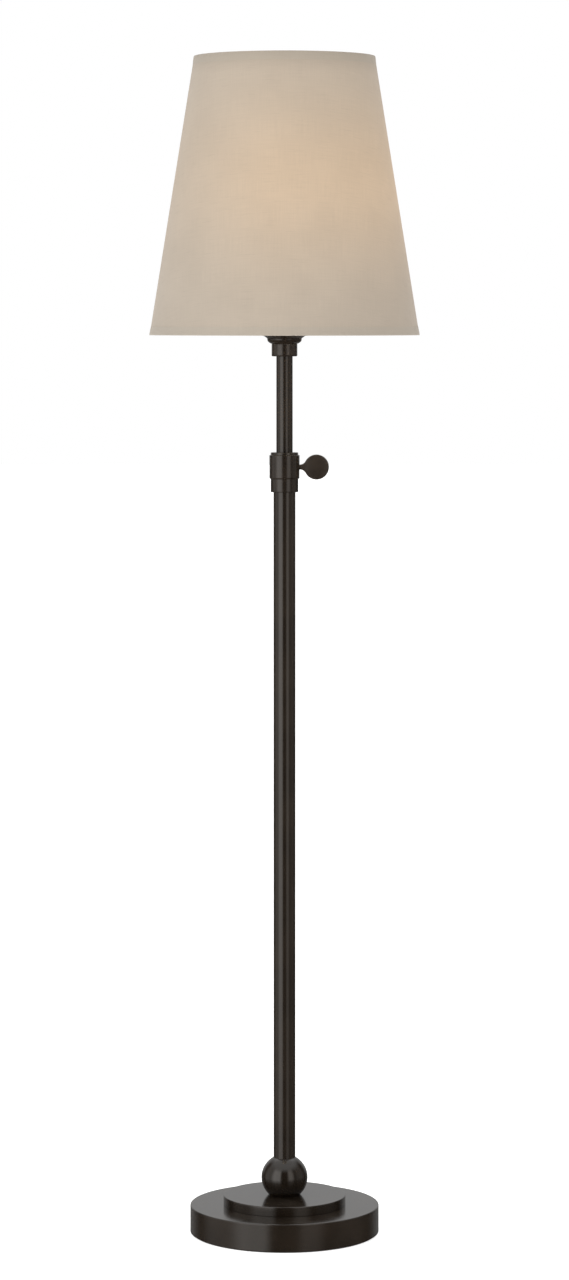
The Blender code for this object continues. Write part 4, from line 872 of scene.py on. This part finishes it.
def build_bulb():
    low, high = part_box("bulb_glass")
    globe = 30.0 * MM
    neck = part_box("bulb_cap")[1].x - 1.2 * MM
    centre = high.z - globe
    rise = centre - low.z
    waist = (rise**2 + neck**2 - globe**2) / (2 * (globe - neck))
    lean = math.degrees(math.atan2(rise, neck + waist))
    shape = new_shape()
    crown = shape.verts.new((0, 0, high.z))
    waist_top = swing(shape, crown, (0, centre), -90 - lean, 40)
    swing(shape, waist_top, (neck + waist, low.z), lean, 16)
    turn_outline(shape, ROUND)
    bmesh.ops.remove_doubles(shape, verts=shape.verts, dist=MERGE)
    mouth = [edge for edge in shape.edges if edge.is_boundary]
    inward = bmesh.ops.extrude_edge_only(shape, edges=mouth)
    rim = [item for item in inward["geom"] if isinstance(item, bmesh.types.BMVert)]
    bmesh.ops.scale(shape, vec=(0.92, 0.92, 1), verts=rim)
    bmesh.ops.holes_fill(shape, edges=[edge for edge in shape.edges if edge.is_boundary], sides=0)
    mesh = finish_mesh("globe_bulb", shape)
    put("globe_bulb", mesh, "upper_column", "bulb_glass", finish("bulb_glass"), "bulb_glass")
    low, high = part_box("bulb_cap")
    crest = high.x
    root = crest - 0.9 * MM
    inside = crest - 1.3 * MM
    turns = 5
    pitch = (high.z - low.z) / turns
    thread = [(inside, low.z, 0), (root, low.z, 0)]
    for turn in range(turns):
        foot = low.z + turn * pitch
        hollow = -0.7 * MM if turn < turns - 1 else 0
        thread += [(crest, foot + pitch / 2, 0.7 * MM), (root, foot + pitch, hollow)]
    thread += [(inside, high.z, 0)]
    put_turned("bulb_thread", thread, "upper_column", "brass", "brass", "bulb_cap")


# Harp


def build_harp():
    brass = finish("brass")
    low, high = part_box("harp_saddle")
    strap_top = low.z + 1.5 * MM
    strap = block_shape((low.x, low.y, low.z), (high.x, high.y, strap_top), 0.3 * MM)
    axis = (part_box("harp_sleeve_right")[0].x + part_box("harp_sleeve_right")[1].x) / 2
    ears = []
    for side in (-1, 1):
        near = (side * axis - 0.75 * MM, -2 * MM, low.z + 0.5 * MM)
        far = (side * axis + 0.75 * MM, 2 * MM, high.z)
        ears.append(block_shape(near, far, 0.2 * MM))
    put("harp_strap", together("harp_strap", [strap, *ears]), "upper_column", "brass", brass, "harp_saddle")
    for side, side_name in ((-1, "left"), (1, "right")):
        low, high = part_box("harp_sleeve_" + side_name)
        outer = (high.x - low.x) / 2
        inner = outer - 1.3 * MM
        groove = outer - 0.5 * MM
        corners = [(inner, low.z, 0.2 * MM), (outer, low.z, 0.35 * MM), (outer, high.z - 3 * MM, -0.2 * MM)]
        corners += [(groove, high.z - 2.6 * MM, -0.2 * MM), (groove, high.z - 1.8 * MM, -0.2 * MM)]
        corners += [(outer, high.z - 1.4 * MM, 0.2 * MM), (outer, high.z, 0.3 * MM)]
        corners += [(inner, high.z, 0.2 * MM)]
        place = Matrix.Translation((side * axis, 0, 0))
        names = ("sleeve_" + side_name, "harp_sleeve_" + side_name)
        put_turned(names[0], corners, "upper_column", "brass", "brass", names[1], COARSE, place)
    low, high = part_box("harp")
    wire = high.y
    foot = low.z
    top = high.z - wire
    wide = 51.0 * MM
    shares = [(axis, 0), (axis, 0.07), (0.75 * wide, 0.22), (wide, 0.52)]
    shares += [(0.93 * wide, 0.75), (0.6 * wide, 0.93), (7 * MM, 1)]
    half = smooth_route([Vector((x, 0, foot + share * (top - foot))) for x, share in shares], 10)
    other = [Vector((-point.x, 0, point.z)) for point in reversed(half)]
    mesh = finish_mesh("harp_wire", wire_shape(half + other, wire))
    put("harp_wire", mesh, "upper_column", "brass", brass, "harp")
    low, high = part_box("harp_seat")
    flange = low.z + 5 * MM
    seat = [(0, low.z, 0), (high.x, low.z, 0.5 * MM), (high.x, flange, 0.4 * MM), (STUD, flange, -0.2 * MM)]
    seat += [(STUD, high.z, 0.4 * MM), (0, high.z, 0)]
    put_turned("harp_top", seat, "upper_column", "brass", "brass", "harp_seat", COARSE)
    low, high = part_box("finial")
    foot = high.x
    socket = low.z + 9 * MM
    knob = [(0, socket, 0), (STUD_HOLE, socket, 0), (STUD_HOLE, low.z, 0.2 * MM), (foot, low.z, 0.4 * MM)]
    knob += [(foot, low.z + 3 * MM, 0.8 * MM), (0.62 * foot, low.z + 3.4 * MM, -0.5 * MM)]
    knob += [(0.55 * foot, low.z + 7 * MM, -1.5 * MM), (foot, low.z + 10.5 * MM, 2.2 * MM)]
    knob += [(foot, high.z - 3.5 * MM, 3.0 * MM), (0.4 * foot, high.z, 1.5 * MM), (0, high.z, 0)]
    put_turned("knob_finial", knob, "upper_column", "bronze", "bronze_fittings", "finial")


# Shade


def shade_radius(height):
    """The shade's outside radius at a height."""
    return SHADE_LOW_RADIUS - SHADE_SLOPE * (height - SHADE_BOTTOM)


def map_cone(mesh):
    """Lays the flat cut of the cone out as a UV map in metres, split at the rear."""
    apex = SHADE_BOTTOM + SHADE_LOW_RADIUS / SHADE_SLOPE
    layer = mesh.uv_layers.new(name="cut")
    for face in mesh.polygons:
        middle = math.atan2(face.center.x, -face.center.y)
        for loop in face.loop_indices:
            point = mesh.vertices[mesh.loops[loop].vertex_index].co
            angle = math.atan2(point.x, -point.y)
            angle -= FULL_TURN * round((angle - middle) / FULL_TURN)
            slant = (apex - point.z) / math.cos(CONE_HALF_ANGLE)
            flat = angle * math.sin(CONE_HALF_ANGLE)
            layer.data[loop].uv = (slant * math.sin(flat), -slant * math.cos(flat))


def cone_corner(inset, height, rounding=0.0):
    return (shade_radius(height) - inset, height, rounding)


def cone_band(outer, inner, low, high):
    """The outline of a thin cone between two insets and two heights."""
    return [cone_corner(*at) for at in ((inner, low), (outer, low), (outer, high), (inner, high))]


def hem_corners(edge, inner, cloth_lap, fold):
    """The outline of a folded tape: from its edge inside the cloth, over the rim and down the backing."""
    lining = edge + 0.7 * (inner - edge)
    under, inside, back = 0.33 * MM, 2.28 * MM, 2.05 * MM
    return [
        cone_corner(under, inner),
        cone_corner(cloth_lap, inner),
        cone_corner(0, edge + 0.4 * (inner - edge), -1.0 * MM),
        cone_corner(0, edge, 0.4 * MM),
        cone_corner(inside, edge, 0.3 * MM),
        cone_corner(inside, lining, 0.1 * MM),
        cone_corner(back, lining),
        cone_corner(back, fold),
        cone_corner(under, fold),
    ]


def build_shade(sizes):
    tuck = 0.55 * MM
    low, high = SHADE_BOTTOM + tuck, SHADE_TOP - tuck
    liner = cone_band(1.5 * MM, 2.0 * MM, low, high)
    backing = put_turned("shade_backing", liner, "upper_column", "styrene", "styrene", "shade_liner", FINE)
    cloth_mesh = turned("shade_cloth", cone_band(0.35 * MM, 0.85 * MM, low, high), FINE)
    map_cone(cloth_mesh)
    fabric = put("shade_cloth", cloth_mesh, "upper_column", "linen", finish("linen"), "shade_fabric")
    for name, node_name, edge, up, cloth_lap in (
        ("hem_bottom", "shade_trim_bottom", SHADE_BOTTOM, 1, 0.18 * MM),
        ("hem_top", "shade_trim_top", SHADE_TOP, -1, 0.30 * MM),
    ):
        corners = hem_corners(edge, edge + up * TRIM_HEIGHT, cloth_lap, edge + 0.7 * up * tuck)
        mesh = turned(name, corners, FINE)
        map_cone(mesh)
        put(name, mesh, "upper_column", "linen_tape", finish("linen_tape"), node_name)
    seam = seam_mesh("shade_seam", sizes.seam_width)
    put("shade_seam", seam, "upper_column", "linen", finish("linen"))


def seam_mesh(name, width):
    """The lapped edge of the cloth, glued down the rear of the shade."""
    shape = new_shape()
    margin = TRIM_HEIGHT + 0.1 * MM
    outline = cone_band(0.12 * MM, 0.34 * MM, SHADE_BOTTOM + margin, SHADE_TOP - margin)
    face = shape.faces.new([shape.verts.new((radius, 0, height)) for radius, height, _ in outline])
    angle = width / SHADE_LOW_RADIUS
    turn = Matrix.Rotation(math.pi / 2 - angle / 2, 3, "Z")
    bmesh.ops.rotate(shape, verts=shape.verts, cent=(0, 0, 0), matrix=turn)
    bmesh.ops.spin(shape, geom=[face], cent=(0, 0, 0), axis=(0, 0, 1), dvec=(0, 0, 0), angle=angle, steps=6)
    mesh = finish_mesh(name, shape)
    map_cone(mesh)
    return mesh


def build_shade_frame():
    steel = finish("steel")
    low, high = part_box("shade_ring")
    wire = 1.25 * MM
    ring = finish_mesh("frame_hoop", hoop_shape(high.x - wire, low.z + wire, wire))
    put("frame_hoop", ring, "upper_column", "steel", steel, "shade_ring")
    height = SHADE_TOP - wire - 0.6 * MM
    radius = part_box("shade_spider")[1].x - wire
    washer_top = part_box("finial")[0].z - 0.3 * MM
    washer_low = washer_top - 1.5 * MM
    rim = 13.0 * MM
    edges = (0.2 * MM, 0.4 * MM, 0.4 * MM, 0.2 * MM)
    washer = turned_shape(ring_corners(STUD_HOLE, rim, washer_low, washer_top, edges))
    middle = (washer_low + washer_top) / 2
    halfway = middle + 0.3 * (height - middle)
    route = [(7.7 * MM, middle), (1.3 * rim, middle), (radius / 2, halfway), (radius, height)]
    points = smooth_route([Vector((x, 0, z)) for x, z in route], 10)
    turns = [Matrix.Rotation(math.radians(90 + 120 * arm), 4, "Z") for arm in range(3)]
    arms = [wire_shape(points, 0.8 * wire, turn) for turn in turns]
    mesh = together("spider_frame", [hoop_shape(radius, height, wire), washer, *arms])
    put("spider_frame", mesh, "upper_column", "steel", steel, "shade_spider")


# What shows little: the frame's own nodes


def dress_nodes():
    """Gives each of the frame's own nodes the finish of its slot."""
    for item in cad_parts.values():
        for place in item.material_slots:
            name = place.material.name.split(".")[0]
            place.material = finish("bronze_fittings" if name == "bronze" else name)


# Studio


def window(tree, value, start, full, still, end):
    """One between two values, fading to nothing on both sides."""
    return times(tree, ease(tree, value, start, full), ease(tree, value, still, end, 1.0, 0.0))


def build_world(studio):
    """Soft boxes round the lamp, seen only in its surfaces, and plain white behind it for the camera."""
    world = bpy.data.worlds.new("studio")
    bpy.context.scene.world = world
    world.use_nodes = True
    tree = world.node_tree
    direction = node(tree, "ShaderNodeTexCoord").outputs["Generated"]
    axes = split(tree, direction)
    backwards = times(tree, axes[1], -1.0)
    around = times(tree, calc(tree, "ARCTAN2", axes[0], backwards), math.degrees(1))
    height = axes[2]
    band = window(tree, height, -0.75, -0.35, 0.5, 0.8)
    left_height = times(tree, band, ease(tree, height, -0.28, -0.08, 0.45, 1.0))
    right_height = times(tree, band, ease(tree, height, -0.27, 0.02, 0.20, 1.0))
    left_box = times(tree, window(tree, around, -76, -44, -26, -13), studio.left_light)
    left_wing = times(tree, window(tree, around, -125, -95, -60, -40), 0.58)
    right_box = times(tree, window(tree, around, 12, 26, 36, 58), studio.right_light)
    right_wing = times(tree, window(tree, around, 50, 70, 95, 125), 0.32)
    left = times(tree, plus(tree, left_box, left_wing), left_height)
    right = times(tree, plus(tree, right_box, right_wing), right_height)
    behind = ease(tree, calc(tree, "ABSOLUTE", around), 120, 150)
    rear = times(tree, behind, ease(tree, height, -0.06, 0.05, 0.25, 1.0))
    rear = times(tree, rear, studio.rear_light)
    above = times(tree, ease(tree, height, 0.5, 0.85), studio.top_light)
    neutral = plus(tree, plus(tree, rear, above), 0.03)
    left_part = blend_colours(tree, 1.0, (1.0, 0.965, 0.925, 1.0), left, "MULTIPLY")
    right_part = blend_colours(tree, 1.0, (1.0, 0.93, 0.86, 1.0), right, "MULTIPLY")
    both = blend_colours(tree, 1.0, left_part, right_part, "ADD")
    light = blend_colours(tree, 1.0, both, neutral, "ADD")
    boxes = node(tree, "ShaderNodeBackground", (light, 1.0)).outputs[0]
    plain = node(tree, "ShaderNodeBackground", (WHITE, 1.0)).outputs[0]
    seen = node(tree, "ShaderNodeLightPath").outputs["Is Camera Ray"]
    mixed = node(tree, "ShaderNodeMixShader", (seen, boxes, plain)).outputs[0]
    tree.links.new(mixed, tree.nodes["World Output"].inputs["Surface"])


def build_floor(studio):
    """A wide pale floor that glows a little, so that it meets the white behind it without a line."""
    shape = bmesh.new()
    bmesh.ops.create_circle(shape, cap_ends=True, segments=FINE, radius=studio.floor_radius)
    mesh = bpy.data.meshes.new("floor")
    shape.to_mesh(mesh)
    shape.free()
    floor = bpy.data.objects.new("floor", mesh)
    bpy.context.scene.collection.objects.link(floor)
    material, tree, shader, where = start_material("pale_floor", Roughness=0.9, Emission_Strength=1.0)
    drift = noise(tree, where["Object"], 1.5, 2.0)
    tone = blend_colours(tree, drift, rgba(WHITE[:3], 0.80), rgba(WHITE[:3], 0.83))
    tree.links.new(tone, shader["Base Color"])
    shader["Emission Color"].default_value = rgba(WHITE[:3], studio.floor_glow)
    shader["Specular IOR Level"].default_value = 0.0
    mesh.materials.append(material)
    floor.visible_glossy = False


def build_camera(studio):
    camera = bpy.data.objects.new("camera", bpy.data.cameras.new("camera"))
    bpy.context.scene.collection.objects.link(camera)
    camera.data.lens = studio.lens
    camera.data.sensor_width = 36.0
    camera.location = (0, -studio.camera_distance, studio.camera_height)
    camera.rotation_euler = (math.pi / 2 - studio.camera_pitch, 0, 0)
    bpy.context.scene.camera = camera


# What a user may change


def number_property(name, description, default, **rest):
    return bpy.props.FloatProperty(name=name, description=description, default=default, **rest)


def length_property(name, description, default, **limits):
    """A length setting in metres with the given default."""
    kind = {"subtype": "DISTANCE", "unit": "LENGTH", "precision": 4}
    return number_property(name, description, default, **kind, **limits)


class LampSizes(bpy.types.PropertyGroup):
    lip_rounding: length_property(
        "Lip rounding", "How far the upper edge of the base is rounded", 0.9 * MM, min=0.2 * MM, max=2 * MM
    )
    seam_width: length_property(
        "Seam width", "Width of the rear seam at the shade's lower rim", 10 * MM, min=4 * MM, max=20 * MM
    )
    thread_pitch: length_property(
        "Thread pitch", "From one thread of the linen to the next", 0.8 * MM, min=0.3 * MM, max=2 * MM
    )


def colour_property(name, description, default):
    """A colour setting with the given default."""
    return bpy.props.FloatVectorProperty(
        name=name, description=description, default=default, min=0.0, max=1.0, size=3, subtype="COLOR"
    )


class LampColours(bpy.types.PropertyGroup):
    bronze: colour_property("Bronze", "Ground colour of the dark bronze lacquer", (0.0165, 0.0115, 0.0075))
    rubbed: colour_property("Rubbed bronze", "Colour where corners are rubbed through", (0.16, 0.10, 0.06))
    brass: colour_property("Brass", "Colour of the bare brass parts", (0.70, 0.50, 0.24))
    linen: colour_property("Linen", "Colour of the shade's cloth", (0.475, 0.415, 0.345))
    hem: colour_property("Hem", "Colour of the tape round the shade's rims", (0.465, 0.415, 0.35))
    glow: colour_property("Bulb light", "Colour of the bulb's own light", (1.0, 0.72, 0.40))
    glow_through: colour_property(
        "Light through the cloth", "What the lit shade adds to its colour", (0.165, 0.08, 0.01)
    )


class LampStudio(bpy.types.PropertyGroup):
    camera_distance: length_property("Camera distance", "From the lamp's axis", 3.768)
    camera_height: length_property("Camera height", "Above the floor", 0.8714)
    camera_pitch: number_property(
        "Camera pitch", "How far it looks down", math.radians(4.6095), subtype="ANGLE", unit="ROTATION"
    )
    lens: number_property("Lens", "Focal length", 112.5, subtype="DISTANCE_CAMERA")
    left_light: number_property("Left light", "Radiance of the left soft box", 1.8)
    right_light: number_property("Right light", "Radiance of the right soft box", 1.25)
    rear_light: number_property("Rear light", "Radiance of the rear wall", 0.58)
    top_light: number_property("Top light", "Radiance of the overhead box", 1.0)
    floor_glow: number_property("Floor glow", "Light that the floor gives off", 0.75)
    floor_radius: length_property("Floor radius", "Radius of the floor", 20.0)


# Operators


class LAMP_OT_stage(bpy.types.Operator):
    """Set up the camera, the floor and the light"""

    bl_idname = "lamp.stage"
    bl_label = "Studio"

    def execute(self, context):
        context.scene.view_settings.view_transform = "Standard"
        build_camera(context.scene.lamp_studio)
        build_world(context.scene.lamp_studio)
        build_floor(context.scene.lamp_studio)
        return {"FINISHED"}


class LAMP_OT_base(bpy.types.Operator):
    """Build the base cover, the plinth, the ball, the felt and the lead's grommet"""

    bl_idname = "lamp.base"
    bl_label = "Base"

    def execute(self, context):
        build_base(context.scene.lamp_sizes)
        return {"FINISHED"}


class LAMP_OT_column(bpy.types.Operator):
    """Build the two tubes, the ferrule and the clamp's collar"""

    bl_idname = "lamp.column"
    bl_label = "Column"

    def execute(self, context):
        build_column()
        return {"FINISHED"}


class LAMP_OT_thumbscrew(bpy.types.Operator):
    """Build the thumbscrew of the clamp"""

    bl_idname = "lamp.thumbscrew"
    bl_label = "Thumbscrew"

    def execute(self, context):
        build_thumbscrew()
        return {"FINISHED"}


class LAMP_OT_neck(bpy.types.Operator):
    """Build the neck and the cup under the shade"""

    bl_idname = "lamp.neck"
    bl_label = "Neck and cup"

    def execute(self, context):
        build_neck()
        return {"FINISHED"}


class LAMP_OT_lampholder(bpy.types.Operator):
    """Build the lampholder and its switch key"""

    bl_idname = "lamp.lampholder"
    bl_label = "Lampholder"

    def execute(self, context):
        build_lampholder()
        return {"FINISHED"}


class LAMP_OT_bulb(bpy.types.Operator):
    """Build the bulb's globe and its threaded cap"""

    bl_idname = "lamp.bulb"
    bl_label = "Bulb"

    def execute(self, context):
        build_bulb()
        return {"FINISHED"}


class LAMP_OT_harp(bpy.types.Operator):
    """Build the harp, its strap and sleeves, its seat and the finial"""

    bl_idname = "lamp.harp"
    bl_label = "Harp"

    def execute(self, context):
        build_harp()
        return {"FINISHED"}


class LAMP_OT_shade(bpy.types.Operator):
    """Build the shade's backing, cloth, hems and seam"""

    bl_idname = "lamp.shade"
    bl_label = "Shade"

    def execute(self, context):
        build_shade(context.scene.lamp_sizes)
        return {"FINISHED"}


class LAMP_OT_shade_frame(bpy.types.Operator):
    """Build the shade's lower hoop and its spider"""

    bl_idname = "lamp.shade_frame"
    bl_label = "Shade frame"

    def execute(self, context):
        build_shade_frame()
        return {"FINISHED"}


class LAMP_OT_inner_parts(bpy.types.Operator):
    """Give the parts inside the base, the column and the lampholder their finishes"""

    bl_idname = "lamp.inner_parts"
    bl_label = "Inner parts"

    def execute(self, context):
        dress_nodes()
        return {"FINISHED"}


OPERATORS = (
    LAMP_OT_stage,
    LAMP_OT_base,
    LAMP_OT_column,
    LAMP_OT_thumbscrew,
    LAMP_OT_neck,
    LAMP_OT_lampholder,
    LAMP_OT_bulb,
    LAMP_OT_harp,
    LAMP_OT_shade_frame,
    LAMP_OT_shade,
    LAMP_OT_inner_parts,
)


class LAMP_PT_panel(bpy.types.Panel):
    """The lamp's settings and the buttons that build it"""

    bl_idname = "LAMP_PT_panel"
    bl_label = "Floor lamp"
    bl_space_type = "VIEW_3D"
    bl_region_type = "UI"
    bl_category = "Lamp"

    def draw(self, context):
        for settings in (context.scene.lamp_sizes, context.scene.lamp_colours, context.scene.lamp_studio):
            box = self.layout.box()
            for key in settings.bl_rna.properties.keys():
                if key not in ("name", "rna_type"):
                    box.prop(settings, key)
        for operator in OPERATORS:
            self.layout.operator(operator.bl_idname)


SETTINGS = {"lamp_sizes": LampSizes, "lamp_colours": LampColours, "lamp_studio": LampStudio}


def register():
    for settings in SETTINGS.values():
        bpy.utils.register_class(settings)
    for name, settings in SETTINGS.items():
        setattr(bpy.types.Scene, name, bpy.props.PointerProperty(type=settings))
    for item in (*OPERATORS, LAMP_PT_panel):
        bpy.utils.register_class(item)


def unregister():
    for item in reversed((*OPERATORS, LAMP_PT_panel)):
        bpy.utils.unregister_class(item)
    for name in SETTINGS:
        delattr(bpy.types.Scene, name)
    for settings in reversed(SETTINGS.values()):
        bpy.utils.unregister_class(settings)


def main():
    register()
    for operator in OPERATORS:
        group, name = operator.bl_idname.split(".")
        getattr(getattr(bpy.ops, group), name)()


if __name__ == "__main__":
    main()
